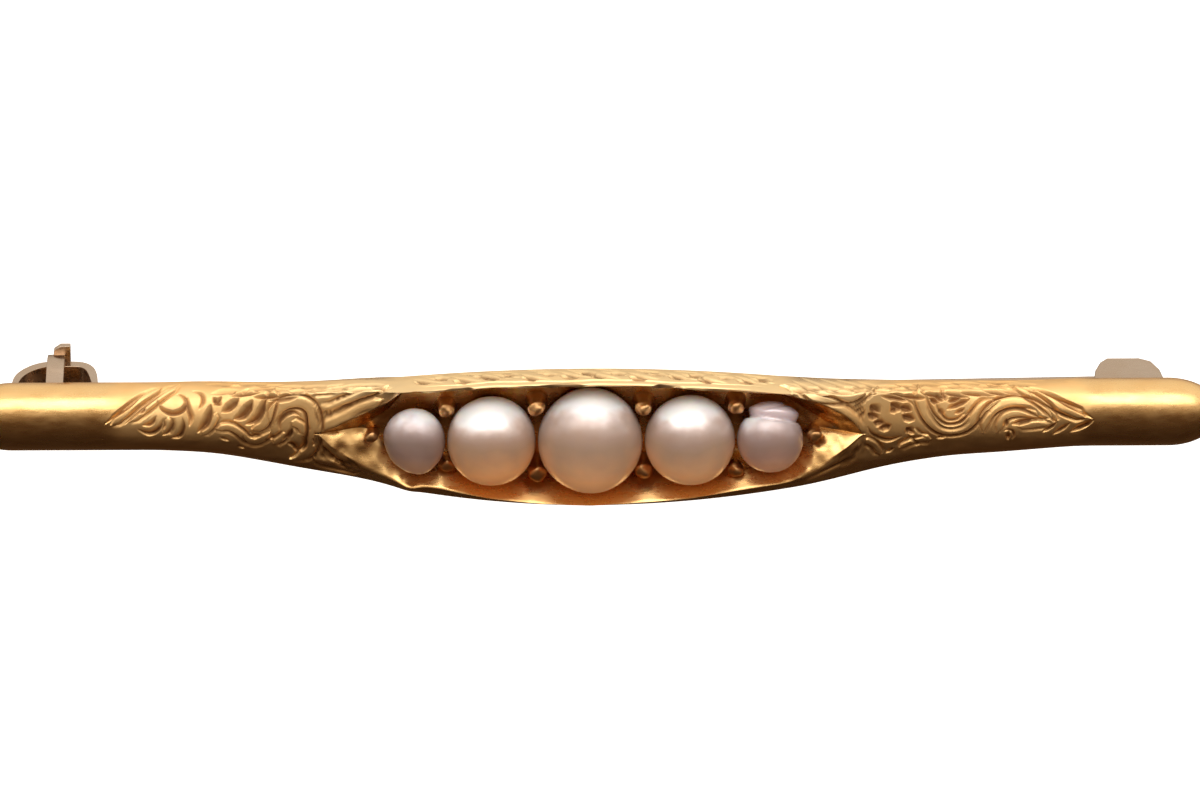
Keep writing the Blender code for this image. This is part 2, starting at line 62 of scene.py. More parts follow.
# Columns: place along the shoulder, then share of the width, of the height and of the crown.
LEFT_LENGTH = 6.95
LEFT_SHOULDER = ((0, 1, 1, .06), (.12, .83, .79, .06), (.22, .68, .71, .08), (.32, .53, .65, .12),
                 (.42, .42, .57, .20), (.52, .32, .45, .38), (.63, .22, .29, .64), (.73, .14, .13, .86),
                 (.83, .08, .03, 1), (1, 0, 0, 1))
RIGHT_LENGTH = 8.55
RIGHT_SHOULDER = ((0, 1, 1.08, .06), (.08, .87, 1.03, .06), (.16, .71, .95, .06), (.25, .56, .80, .07),
                  (.33, .43, .66, .12), (.41, .32, .55, .22), (.50, .23, .43, .42), (.58, .16, .34, .54),
                  (.75, .08, .25, .68), (.87, .02, .15, .82), (1, 0, 0, 1))

# Columns: CAD node, radius, shares of it along, across and tall.
PEARLS = (("pearl_outer_left", 0.93, 0.96, 1.04, 0.98),
          ("pearl_inner_left", 1.28, 0.99, 1.01, 1.0),
          ("pearl_centre", 1.50, 1.0, 1.01, 1.0),
          ("pearl_inner_right", 1.28, 1.01, 1.02, 1.0),
          ("pearl_outer_right", 0.93, 1.02, 1.03, 0.98))
PEARL_PLACES = (-5.007, -2.807, 0.0, 2.833, 5.114)


def blend(low, high, share):
    return low + (high - low) * share


def smooth_step(low, high, value):
    share = np.clip((value - low) / (high - low), 0.0, 1.0)
    return share * share * (3 - 2 * share)


# Section of the bar
SAMPLES = np.linspace(-BAR_REACH - 1, BAR_REACH + 1, 3801)
CORNER_SOFTNESS = 0.07
SHOULDER_SOFTNESS = 0.32


def between(limits, value):
    """A share that is 0 up to the first limit, 1 from the second to the third and 0 from the fourth on."""
    start, full, falling, gone = limits
    return smooth_step(start, full, value) * (1 - smooth_step(falling, gone, value))


def softened(values, reach):
    """The values with their corners rounded over a reach in millimetres."""
    step = SAMPLES[1] - SAMPLES[0]
    count = int(reach * 3 / step)
    places = np.arange(-count, count + 1) * step
    weights = np.exp(-(places / reach) ** 2 / 2)
    padded = np.pad(values, count, mode="edge")
    return np.convolve(padded, weights / weights.sum(), mode="valid")


def sampled_sizes():
    """Half width, height of the widest place and rise of the crown above it, at each sample along the bar."""
    reach = np.abs(SAMPLES)
    bulge = 1 - (reach / SETTING_REACH) ** 2
    width = np.where(bulge >= 0, blend(CORNER_HALF_WIDTH, SETTING_HALF_WIDTH, bulge), 0)
    height = np.zeros_like(width)
    crown = np.full_like(width, RIM_CROWN)
    for side, length, table in ((-1, LEFT_LENGTH, LEFT_SHOULDER), (1, RIGHT_LENGTH, RIGHT_SHOULDER)):
        along, widths, heights, crowns = np.array(table, float).T
        here = SAMPLES * side >= 0
        share = (reach - SETTING_REACH) / length
        outside = here & (bulge < 0)
        width[outside] = blend(TUBE_RADIUS, CORNER_HALF_WIDTH, np.interp(share, along, widths))[outside]
        height[outside] = CORNER_HEIGHT * np.interp(share, along, heights)[outside]
        crown[outside] = TUBE_RADIUS * np.interp(share, along, crowns)[outside]
        inside = here & (bulge >= 0)
        height[inside] = blend(CORNER_HEIGHT * heights[0], SETTING_HEIGHT, bulge)[inside]
    far = 1 - np.exp(-((reach - SETTING_REACH) / 0.5) ** 2)
    results = []
    for values in (width, height, crown):
        results.append(blend(softened(values, CORNER_SOFTNESS), softened(values, SHOULDER_SOFTNESS), far))
    return results


WIDTHS, HEIGHTS, CROWNS = sampled_sizes()


def tip_share(x):
    inside = np.maximum(0.0, np.abs(x) - (BAR_REACH - TIP_LENGTH))
    return np.sqrt(np.maximum(0.0, 1 - (inside / TIP_LENGTH) ** 2))


def half_width(x):
    return np.interp(x, SAMPLES, WIDTHS) * tip_share(x)


def widest_height(x):
    return np.interp(x, SAMPLES, HEIGHTS)


def crown_rise(x):
    return np.interp(x, SAMPLES, CROWNS) * tip_share(x)


def outside_point(x, turn):
    """Place across the bar and height above its axis, at a turn from the front towards +Y."""
    height = widest_height(x)
    rise = np.where(np.cos(turn) > 0, crown_rise(x), height + TUBE_RADIUS * tip_share(x))
    return half_width(x) * np.sin(turn), height + rise * np.cos(turn)


def beyond_corner(x):
    return np.clip((np.abs(x) - SETTING_REACH) / POINTED_END_LENGTH, 0.0, 1.0)


# Columns: place along the bar, then the mouth's share of the half width inside the rim, towards +Y and -Y.
MOUTH_SHARES = ((-7.75, 0.0, 0.0), (-7.46, 0.16, 0.24), (-7.05, 0.36, 0.50), (-6.5, 0.60, 0.75),
                (-6.07, 0.76, 0.83), (-5.71, 0.88, 0.89), (-5.49, 0.98, 0.91), (-5.31, 1.07, 0.93),
                (-5.10, 1.08, 0.93), (-4.89, 1.06, 0.92), (-4.60, 1.02, 0.91), (-4.23, 1.03, 0.91),
                (-3.5, 1.05, 0.96), (-2.86, 1.06, 1.0), (-1.43, 1.06, 1.03), (0.0, 1.06, 1.055),
                (1.4, 1.06, 1.015), (2.83, 1.055, 1.0), (4.09, 1.04, 0.94), (4.89, 1.04, 0.92),
                (5.35, 1.06, 0.92), (5.71, 1.05, 0.90), (6.07, 1.04, 0.81), (6.5, 0.98, 0.69),
                (7.05, 0.75, 0.42), (7.46, 0.44, 0.19), (7.75, 0.0, 0.0))


def sampled_mouths():
    places, up, low = np.array(MOUTH_SHARES).T
    return [softened(np.interp(SAMPLES, places, shares), CORNER_SOFTNESS) for shares in (up, low)]


MOUTHS = sampled_mouths()


NARROWEST_MOUTH = 0.02
NARROWEST_BED = 0.01
BED_RISE_POWER = 2.6


def mouth_half_width(x, side):
    """Half width of the mouth towards +Y (side 0) or -Y (side 1)."""
    return np.maximum(NARROWEST_MOUTH, (half_width(x) - RIM_THICKNESS) * np.interp(x, SAMPLES, MOUTHS[side]))


def pocket_sizes(x, side):
    """Half width of the bed, height of the bed and height of the rim, on one side."""
    beyond = beyond_corner(x)
    mouth = mouth_half_width(x, side)
    bed = np.maximum(NARROWEST_BED, (mouth - BED_WALL_SLOPES[side] * (1 + beyond)) * (1 - beyond))
    rim = widest_height(x) + crown_rise(x) * np.sqrt(np.maximum(0, 1 - (mouth / half_width(x)) ** 2))
    floor = blend(BED_HEIGHT, rim - 0.01, beyond ** BED_RISE_POWER)
    return bed, floor, rim


def rough(x, y):
    """Uneven height from -1 to 1 with a few sizes of bump, as a graver leaves it."""
    broad = np.sin(1.7 * x + 1.3 * y + 0.4) * np.cos(2.3 * y - 0.9 * x)
    middle = 0.6 * np.sin(3.1 * x - 2.2 * y + 1.9)
    fine = 0.5 * np.cos(4.3 * y + 2.9 * x + 0.7) * np.sin(2.7 * x + 0.3)
    return np.clip((broad + middle + fine) / 1.5, -1, 1)


NO_SEAT = 9.0


def seat_height(x, y):
    """Height of the seats under the pearls, and NO_SEAT where there is none."""
    result = np.full(np.broadcast(x, y).shape, NO_SEAT)
    for place, (_, radius, along, across, tall) in zip(PEARL_PLACES, PEARLS):
        seat_along = radius * along + PEARL_SEAT_GAP
        seat_across = radius * across + PEARL_SEAT_GAP
        spread = ((x - place) / seat_along) ** 2 + (y / seat_across) ** 2
        drop = (radius * tall + PEARL_SEAT_GAP) * np.sqrt(np.maximum(0, 1 - spread))
        result = np.where(spread < 1, np.minimum(result, PEARL_HEIGHT - drop), result)
    return result


# Grids and meshes
def spread_turns(start, end, count, density):
    """Turns from start to end, closer together where density is high."""
    fine = np.linspace(start, end, 2001)
    weight = density(fine)
    total = np.concatenate(([0], np.cumsum((weight[1:] + weight[:-1]) / 2)))
    return np.interp(np.linspace(0, total[-1], count), total, fine)


def spread_places(pieces):
    """Places along the bar from (start, end, step) pieces that follow each other."""
    places = [np.array([pieces[0][0]], float)]
    for start, end, step in pieces:
        count = max(1, int(round((end - start) / step)))
        places.append(np.linspace(start, end, count + 1)[1:])
    return np.concatenate(places)


def plain_rows(x, turns):
    """Grid of points round the bar where it has no pocket."""
    columns = x[:, None]
    y, z = outside_point(columns, turns[None, :])
    return np.stack([np.broadcast_to(columns, y.shape), y, z], -1), np.broadcast_to(turns[None, :], y.shape)


LIP_RISE = 0.11
UPPER_LIP_DROP = 0.10
LIP_WIDTH = 0.26
PINCHES = (0.16, -0.16)
PINCH_PLACE = -5.12
PINCH_LENGTH = 0.27
WALL_CURVES = (1.25, 0.85)
# The lip towards +Y is pressed down by UPPER_LIP_DROP, except at this small swell.
LIP_SWELL = 0.02
LIP_SWELL_PLACE = 3.1
LIP_SWELL_LENGTH = 0.8
PRESSED_TO_FULL = (5.4, 6.3)
LIP_ENDS = (7.2, 7.75)
LIP_SLOPE_POWER = 0.8
TOOLED_BED = (5.4, 6.0, 7.2, 7.6)
ROUGH_ALONG = 2.6
ROUGH_ACROSS = 3.2
END_TOOLING_DEPTH = 0.030
FLOOR_ROWS = 33
WALL_ROWS = 14
LIP_ROWS = 18
BACK_ROWS = 110
# Columns: turn from the front, and how close together the points round the back lie there.
BACK_DENSITY = ((1.57, 4.0), (1.78, 4.0), (1.84, 1.7), (2.35, 1.7), (2.5, 0.45), (4.0, 0.45), (4.2, 0.9))


def lip_rise(x, side):
    """How far the rim's inner edge stands above the rim; beside the pearls it is pressed down towards +Y."""
    if side == 1:
        return np.full_like(x, LIP_RISE)
    pressed = blend(-UPPER_LIP_DROP, LIP_SWELL, np.exp(-((x - LIP_SWELL_PLACE) / LIP_SWELL_LENGTH) ** 2))
    return blend(pressed, LIP_RISE, smooth_step(*PRESSED_TO_FULL, np.abs(x)))


def back_density(turn):
    turns, density = np.array(BACK_DENSITY).T
    return np.interp(turn, turns, density)


def setting_rows(x):
    """Grid of points over the bed, up its walls, over the rim and round the back."""
    columns = x[:, None]
    width = half_width(columns)
    wall_share = (np.arange(1, WALL_ROWS + 1) / WALL_ROWS)[None, :]
    lip_share = (np.arange(1, LIP_ROWS + 1) / LIP_ROWS)[None, :]
    halves = []
    for side in (0, 1):
        mouth = mouth_half_width(columns, side)
        bed, floor, rim = pocket_sizes(columns, side)
        lip_turn = blend(np.arcsin(np.clip(mouth / width, 0, 1)), math.pi / 2, lip_share)
        lip_y, lip_z = outside_point(columns, lip_turn)
        slope = lip_rise(columns, side) * (1 - smooth_step(*LIP_ENDS, np.abs(columns)))
        room = np.minimum(width - mouth, LIP_WIDTH) + 1e-6
        lip_z = lip_z + slope * np.clip(1 - (lip_y - mouth) / room, 0, 1) ** LIP_SLOPE_POWER
        pinch = PINCHES[side] * np.exp(-((columns - PINCH_PLACE) / PINCH_LENGTH) ** 2)
        lip_z = lip_z - pinch * np.clip(1 - (lip_y - mouth) / (width - mouth + 0.02), 0, 1) ** 0.5
        rim = rim + slope - pinch
        wall_y = blend(bed, mouth, wall_share)
        wall_z = blend(floor, rim, wall_share ** WALL_CURVES[side])
        halves.append((bed, floor, wall_y, wall_z, lip_turn, lip_y, lip_z))
    bed, floor, wall_y, wall_z, lip_turn, lip_y, lip_z = halves[0]
    low_bed, _, low_wall_y, low_wall_z, low_turn, low_y, low_z = halves[1]
    across = np.linspace(0, 1, FLOOR_ROWS)[None, :]
    floor_y = blend(-low_bed, bed, across)
    floor_z = np.broadcast_to(floor, floor_y.shape)
    back = spread_turns(math.pi / 2, math.pi * 1.5, BACK_ROWS + 1, back_density)[None, 1:-1]
    back_y, back_z = outside_point(columns, back)
    back_turn = np.broadcast_to(back, back_y.shape)
    sunk_floor = np.full(floor_y.shape, np.nan)
    sunk_wall = np.full(wall_y.shape, np.nan)
    y = np.concatenate([floor_y, wall_y, lip_y, back_y, -low_y[:, ::-1], -low_wall_y[:, ::-1]], 1)
    z = np.concatenate([floor_z, wall_z, lip_z, back_z, low_z[:, ::-1], low_wall_z[:, ::-1]], 1)
    turn = np.concatenate([sunk_floor, sunk_wall, lip_turn, back_turn, -low_turn[:, ::-1], sunk_wall], 1)
    sunk = np.isnan(turn)
    tooled = between(TOOLED_BED, np.abs(columns))
    z = np.where(sunk, z + tooled * END_TOOLING_DEPTH * rough(columns * ROUGH_ALONG, y * ROUGH_ACROSS), z)
    z = np.where(sunk, np.minimum(z, seat_height(columns, y)), z)
    grid = np.stack([np.broadcast_to(columns, y.shape), y, z], -1)
    return grid, turn


def grid_normals(grid):
    """Outward normal at each point of a grid of closed rings that lie one after another along +X."""
    along = np.gradient(grid, axis=0)
    around = np.roll(grid, -1, 1) - np.roll(grid, 1, 1)
    normal = np.cross(around, along)
    length = np.linalg.norm(normal, axis=-1, keepdims=True)
    return -normal / np.maximum(length, 1e-12)


# Cut depth, tooling, painted light on the side facing +Y, and less metallic shoulders.
SURFACE_AND_PAINTED_LIGHT_LAYERS = ("cut", "tooled", "painted_light_side", "even")


def bar_piece(name, grid, normals, surface_and_painted_light):
    """A closed piece of the bar from its rings, with flat ends, the given normals and its surface layers,
    painted light and shade among them.
    """
    rings, count = grid.shape[:2]
    vertices = (grid + np.array([0, 0, AXIS_HEIGHT])) * MM
    index = np.arange(rings * count).reshape(rings, count)
    after = np.roll(index, -1, 1)
    quads = np.stack([index[:-1], index[1:], after[1:], after[:-1]], -1).reshape(-1, 4)
    first = vertices[0].mean(0)
    last = vertices[-1].mean(0)
    points = np.concatenate([vertices.reshape(-1, 3), [first, last]])
    low = rings * count
    start_fan = np.stack([index[0], after[0], np.full(count, low)], -1)
    end_fan = np.stack([after[-1], index[-1], np.full(count, low + 1)], -1)
    faces = quads.tolist() + start_fan.tolist() + end_fan.tolist()
    mesh = bpy.data.meshes.new(name)
    mesh.from_pydata(points.tolist(), [], faces)
    mesh.update()
    mesh.shade_smooth()
    flat = normals.reshape(-1, 3)
    loops = np.concatenate([flat[quads.reshape(-1)],
                            np.tile([-1.0, 0, 0], (count * 3, 1)), np.tile([1.0, 0, 0], (count * 3, 1))])
    mesh.normals_split_custom_set(loops.tolist())
    for label, share in zip(SURFACE_AND_PAINTED_LIGHT_LAYERS, surface_and_painted_light):
        add_layer(mesh, label, np.concatenate([share.reshape(-1), [0, 0]]))
    return new_object(name, mesh, GOLD)


def add_layer(mesh, label, values):
    """One value at each point of the mesh, for its material."""
    layer = mesh.attributes.new(label, "FLOAT", "POINT")
    layer.data.foreach_set("value", values.astype(np.float32))


def new_object(name, mesh, material):
    obj = bpy.data.objects.new(name, mesh)
    bpy.context.scene.collection.objects.link(obj)
    mesh.materials.append(material)
    return obj


def dress(obj, node):
    """Let a piece ride on the body and stand for a node of the solids."""
    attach(obj, "root")
    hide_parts(node)


# Materials
class Nodes:
    """A new material or world with short ways to add its nodes."""

    def __init__(self, name, target=None):
        self.item = target or bpy.data.materials.new(name)
        self.item.use_nodes = True
        self.tree = self.item.node_tree
        self.tree.nodes.clear()

    def add(self, kind, **settings):
        node = self.tree.nodes.new(kind)
        for key, value in settings.items():
            setattr(node, key, value)
        return node

    def link(self, source, target):
        self.tree.links.new(source, target)

    def layer(self, label):
        return self.add("ShaderNodeAttribute", attribute_name=label).outputs["Fac"]

    def principled(self, settings):
        node = self.add("ShaderNodeBsdfPrincipled")
        for label, value in settings.items():
            node.inputs[label].default_value = value
        return node

    def show(self, shader, kind="ShaderNodeOutputMaterial"):
        self.link(shader.outputs[0], self.add(kind).inputs["Surface"])

    def place(self, scale, stretch=(1, 1, 1)):
        """Coordinates in millimetres of the model, scaled and stretched."""
        coordinates = self.add("ShaderNodeTexCoord")
        mapping = self.add("ShaderNodeMapping")
        mapping.inputs["Scale"].default_value = [scale * s / MM for s in stretch]
        self.link(coordinates.outputs["Object"], mapping.inputs["Vector"])
        return mapping.outputs["Vector"]

    def noise(self, scale, stretch=(1, 1, 1), detail=3.0, roughness=0.5):
        node = self.add("ShaderNodeTexNoise")
        node.inputs["Scale"].default_value = 1.0
        node.inputs["Detail"].default_value = detail
        node.inputs["Roughness"].default_value = roughness
        self.link(self.place(scale, stretch), node.inputs["Vector"])
        return node.outputs["Fac"]

    def spread(self, value, low, high, out_low=0.0, out_high=1.0):
        node = self.add("ShaderNodeMapRange")
        node.inputs["From Min"].default_value = low
        node.inputs["From Max"].default_value = high
        node.inputs["To Min"].default_value = out_low
        node.inputs["To Max"].default_value = out_high
        self.link(value, node.inputs["Value"])
        return node.outputs["Result"]

    def ramp(self, value, stops):
        node = self.add("ShaderNodeValToRGB")
        elements = node.color_ramp.elements
        while len(elements) < len(stops):
            elements.new(0.5)
        for element, (place, colour) in zip(elements, stops):
            element.position = place
            element.color = (*colour, 1)
        self.link(value, node.inputs["Fac"])
        return node.outputs["Color"]

    def mix(self, share, first, second):
        node = self.add("ShaderNodeMix", data_type="RGBA")
        colours = [s for s in node.inputs if s.type == "RGBA"]
        for socket, value in zip(colours, (first, second)):
            if isinstance(value, tuple):
                socket.default_value = (*value, 1)
            else:
                self.link(value, socket)
        self.link(share, node.inputs[0])
        return [s for s in node.outputs if s.type == "RGBA"][0]

    def math(self, operation, first, second):
        node = self.add("ShaderNodeMath", operation=operation)
        for socket, value in zip(node.inputs, (first, second)):
            if isinstance(value, (int, float)):
                socket.default_value = value
            else:
                self.link(value, socket)
        return node.outputs[0]

    def bump(self, height, strength, distance, below=None):
        node = self.add("ShaderNodeBump")
        node.inputs["Strength"].default_value = strength
        node.inputs["Distance"].default_value = distance * MM
        self.link(height, node.inputs["Height"])
        if below is not None:
            self.link(below, node.inputs["Normal"])
        return node.outputs["Normal"]


# The engraved shoulders scatter light more evenly than a polished metal does.
SHOULDER_METALLIC = 0.60
TOOLED_ROUGHNESS = 0.20
CLOUD_TINT = (0.93, 0.86, 0.78)
# Painted light: a lighter gold laid on the side of the bar that faces +Y, where the light falls.
PAINTED_LIGHT_GOLD = (1.0, 0.73, 0.38)
# Darker gold in the cuts, partly tarnish and partly painted shade.
TARNISH_AND_PAINTED_SHADE_GOLD = (0.28, 0.12, 0.04)


def metal(name, colour, roughness, engraved_too=False):
    """Worn polished metal. With engraved_too it is duller where it is engraved and darker in the cuts, partly
    as tarnish and partly as painted shade, and it is painted lighter on its side that faces +Y.
    """
    m = Nodes(name)
    shader = m.principled({"Metallic": 1.0})
    cloud = m.spread(m.noise(0.9, detail=4), 0.35, 0.75)
    tone = m.mix(cloud, colour, tuple(c * k for c, k in zip(colour, CLOUD_TINT)))
    dull = m.spread(m.noise(6.0, (0.35, 1, 1), detail=5), 0.3, 0.75, roughness * 0.75, roughness * 1.45)
    if engraved_too:
        # Painted light: the side beyond the widest place towards +Y is made lighter.
        tone = m.mix(m.layer("painted_light_side"), tone, PAINTED_LIGHT_GOLD)
        # Darker in the cuts by their depth: partly tarnish, partly painted shade.
        tone = m.mix(m.spread(m.layer("cut"), 0.1, 1.0, 0.0, 0.85), tone, TARNISH_AND_PAINTED_SHADE_GOLD)
        dull = m.math("ADD", dull, m.math("MULTIPLY", m.layer("tooled"), TOOLED_ROUGHNESS))
        m.link(m.spread(m.layer("even"), 0.0, 1.0, 1.0, SHOULDER_METALLIC), shader.inputs["Metallic"])
    m.link(tone, shader.inputs["Base Color"])
    m.link(dull, shader.inputs["Roughness"])
    grain = m.bump(m.noise(14.0, (0.25, 1, 1), detail=6, roughness=0.65), 0.12, 0.02)
    dents = m.bump(m.noise(1.1, (0.6, 1, 1), detail=2), 0.28, 0.10, grain)
    m.link(dents, shader.inputs["Normal"])
    m.show(shader)
    return m.item


NACRE = {"Metallic": 0.22, "Roughness": 0.34, "Specular IOR Level": 0.5, "Subsurface Weight": 0.6,
         "Subsurface Radius": (1.0, 0.7, 0.5), "Subsurface Scale": 0.8 * MM, "Coat Weight": 0.45,
         "Coat Roughness": 0.10}
FOLD_COLOUR = (0.68, 0.55, 0.57)


def nacre(name, stops):
    """Pearl whose base colour holds painted light: a painted highlight cap on the side facing +Y, painted
    shade below it and a warm painted reflection on its underside.
    """
    m = Nodes(name)
    shader = m.principled(NACRE)
    cloud = m.spread(m.noise(0.7, detail=3), 0.3, 0.7, -0.12, 0.12)
    # Painted light: the ramp lays a highlight cap and shade into the base colour.
    tone = m.ramp(m.math("ADD", m.layer("painted_light_and_shade"), cloud), stops)
    m.link(m.mix(m.layer("fold"), tone, FOLD_COLOUR), shader.inputs["Base Color"])
    m.link(m.bump(m.noise(2.2, detail=3), 0.12, 0.05), shader.inputs["Normal"])
    m.show(shader)
    return m.item


GOLD = metal("yellow_gold", (0.95, 0.61, 0.26), 0.27, engraved_too=True)
BEAD_GOLD = metal("bead_gold", (0.80, 0.47, 0.21), 0.4)
PALE_GOLD = metal("pale_gold", (0.54, 0.41, 0.30), 0.26)
# Columns: place from the painted highlight cap to the underside, then red, green and blue there. The tones
# are painted light: near white at the cap, darker as painted shade further down, and warmer at the underside
# as a painted reflection of the gold.
NACRE_PAINTED_LIGHT_TONES = ((0.0, 0.99, 0.99, 1.0), (0.05, 0.96, 0.96, 0.97), (0.10, 0.84, 0.81, 0.81),
               (0.15, 0.70, 0.61, 0.58), (0.21, 0.55, 0.44, 0.40), (0.28, 0.45, 0.34, 0.29),
               (0.38, 0.41, 0.29, 0.23), (0.5, 0.41, 0.28, 0.20), (0.7, 0.53, 0.33, 0.21),
               (1.0, 0.78, 0.45, 0.24))


def tinted(tint):
    """The nacre's painted light and shade tones, tinted more the further they lie from the painted highlight
    cap.
    """
    stops = []
    for place, *tone in NACRE_PAINTED_LIGHT_TONES:
        share = min(1, place / 0.7)
        stops.append((place, tuple(min(1, c * blend(1, t, share)) for c, t in zip(tone, tint))))
    return stops


PEARL = nacre("pearl", tinted((1.07, 1.07, 1.07)))
WARM_PEARL = nacre("warm_pearl", tinted((1.12, 1.03, 0.92)))
GREY_PEARL = nacre("grey_pearl", tinted((0.54, 0.58, 0.78)))
MAUVE_PEARL = nacre("mauve_pearl", tinted((0.74, 0.74, 0.95)))


# Engraving
# The strokes were followed on two enlarged views of the photo, one of each shoulder.
# A view is the column and the row of its corner in the photo, and its scale.
LEFT_VIEW = (90, 370, 4.0)
RIGHT_VIEW = (790, 372, 3.6)
PHOTO_SCALE = 35.0
MIDDLE_COLUMN = 590
# The bar's axis falls by this share of a row for each column, and passes this place.
AXIS_FALL = -0.0045
AXIS_PLACE = (125, 416.1)

# Cuts are V-shaped, and bands are raised between two cut lines. Columns: width in pixels of the photo, depth
# in millimetres, and points of the path as (column, row) in the enlarged view.
LEFT_CUTS = (
    (5, 0.06, (62, 218), (110, 180), (160, 145), (205, 105), (250, 75)),
    (5, 0.06, (140, 222), (200, 165), (260, 115), (345, 62)), (7, 0.06, (200, 172), (228, 146)),
    (6, 0.07, (196, 236), (245, 252), (284, 228), (300, 190)),
    (5, 0.06, (215, 222), (250, 212), (272, 182)),
    (6, 0.07, (290, 262), (320, 242), (334, 215), (330, 188)),
    (6, 0.07, (325, 272), (362, 262), (378, 225), (376, 190)),
    (6, 0.08, (272, 118), (295, 155), (335, 172), (375, 160), (390, 130), (375, 105), (348, 98)),
    (6, 0.07, (396, 105), (400, 150), (412, 190), (402, 228)),
    (5, 0.06, (412, 84), (450, 95), (460, 125), (440, 160)),
    (9, 0.09, (432, 252), (465, 215), (480, 180), (488, 135)), (7, 0.08, (498, 108), (532, 142)),
    (5, 0.07, (532, 104), (500, 142)), (9, 0.09, (532, 168), (565, 145), (602, 108)),
    (10, 0.1, (578, 198), (620, 175), (656, 118)),
    (9, 0.09, (622, 218), (665, 200), (690, 165), (702, 112)), (5, 0.06, (560, 97), (592, 80)),
    (5, 0.06, (608, 92), (642, 72)), (5, 0.06, (658, 87), (702, 65)), (5, 0.06, (706, 96), (748, 70)),
    (7, 0.08, (765, 245), (760, 207), (785, 177), (820, 168), (852, 188)),
    (7, 0.08, (812, 228), (800, 255), (772, 278)), (6, 0.07, (852, 262), (862, 290), (848, 322)),
    (6, 0.07, (790, 290), (820, 300), (836, 332)), (6, 0.06, (718, 276), (747, 260)),
    (5, 0.06, (648, 256), (692, 262)), (4, 0.06, (905, 160), (925, 215)), (4, 0.06, (925, 155), (945, 206)),
    (4, 0.06, (945, 155), (962, 196)), (4, 0.06, (962, 157), (978, 188)), (4, 0.06, (979, 160), (991, 178)),
    (6, 0.07, (930, 192), (1000, 160), (1090, 120)), (5, 0.06, (960, 332), (1012, 372)),
    (5, 0.06, (930, 312), (976, 352)), (4, 0.05, (520, 266), (562, 282)), (4, 0.05, (590, 302), (622, 312)),
    (5, 0.05, (785, 100), (830, 85), (880, 95)), (5, 0.05, (880, 112), (930, 97), (990, 100)),
    (5, 0.05, (940, 80), (1000, 68), (1060, 74)), (4, 0.05, (790, 78), (850, 66), (905, 72)),
    (4, 0.05, (1010, 95), (1060, 84), (1110, 84)), (5, 0.05, (893, 268), (925, 300)),
    (5, 0.05, (925, 262), (893, 298)), (4, 0.05, (908, 255), (908, 312)),
)
LEFT_BANDS = (
    (7, 0.05, (90, 222), (150, 172), (210, 122), (292, 72)),
    (7, 0.05, (165, 208), (230, 152), (300, 97), (362, 60)), (6, 0.05, (305, 252), (322, 225), (318, 190)),
    (7, 0.05, (452, 258), (492, 215), (512, 172)),
    (7, 0.06, (500, 234), (560, 228), (600, 247), (640, 282), (690, 277), (727, 245)),
    (9, 0.07, (652, 236), (700, 215), (722, 160), (737, 100), (746, 72)),
    (12, 0.08, (730, 228), (745, 168), (790, 133), (850, 128), (893, 158), (904, 215), (900, 270),
     (880, 320), (840, 348), (800, 354)),
    (8, 0.05, (812, 205), (848, 225), (864, 252)), (7, 0.05, (738, 292), (770, 272), (792, 252)),
    (8, 0.05, (625, 250), (660, 287), (707, 262)),
    (7, 0.07, (895, 146), (960, 150), (1020, 127), (1100, 97), (1200, 62)),
    (8, 0.08, (915, 243), (960, 207), (1030, 172), (1100, 140), (1180, 118)),
    (8, 0.07, (915, 268), (960, 302), (1010, 352), (1062, 392)),
    (9, 0.06, (890, 347), (950, 367), (1082, 402)),
)
RIGHT_CUTS = (
    (5, 0.06, (20, 12), (120, 54), (205, 74)), (5, 0.06, (90, 18), (180, 50), (252, 68)),
    (5, 0.06, (160, 26), (262, 54)), (5, 0.05, (240, 34), (332, 58)),
    (5, 0.05, (0, 28), (70, 60), (120, 74)), (5, 0.07, (203, 117), (240, 101), (272, 74)),
    (5, 0.07, (213, 133), (250, 112), (277, 86)), (5, 0.07, (224, 150), (263, 122)),
    (5, 0.07, (240, 167), (268, 137)), (8, 0.09, (497, 92), (532, 112)), (8, 0.09, (517, 72), (547, 107)),
    (7, 0.08, (543, 56), (560, 106)), (8, 0.09, (562, 108), (590, 92), (614, 78)),
    (7, 0.08, (558, 134), (600, 112), (645, 95)), (6, 0.07, (527, 128), (552, 158)),
    (5, 0.06, (585, 150), (625, 130)), (7, 0.08, (790, 188), (880, 162)), (6, 0.07, (772, 165), (768, 200)),
    (12, 0.06, (770, 226), (790, 226)),
    (4, 0.06, (762, 212), (780, 207), (797, 212), (802, 228), (794, 243)),
    (5, 0.06, (955, 182), (900, 217)), (6, 0.07, (828, 44), (930, 80), (1000, 120), (1087, 168)),
    (6, 0.07, (1088, 172), (1000, 216)), (5, 0.06, (1002, 182), (938, 226)),
    (5, 0.05, (596, 42), (640, 54), (682, 60)), (5, 0.05, (650, 72), (740, 84)),
    (5, 0.05, (700, 42), (782, 60)), (5, 0.05, (340, 60), (400, 48), (450, 60)),
    (5, 0.05, (213, 292), (242, 264)), (4, 0.05, (340, 290), (372, 272)), (4, 0.05, (440, 262), (470, 256)),
    (4, 0.05, (520, 236), (560, 232)),
)
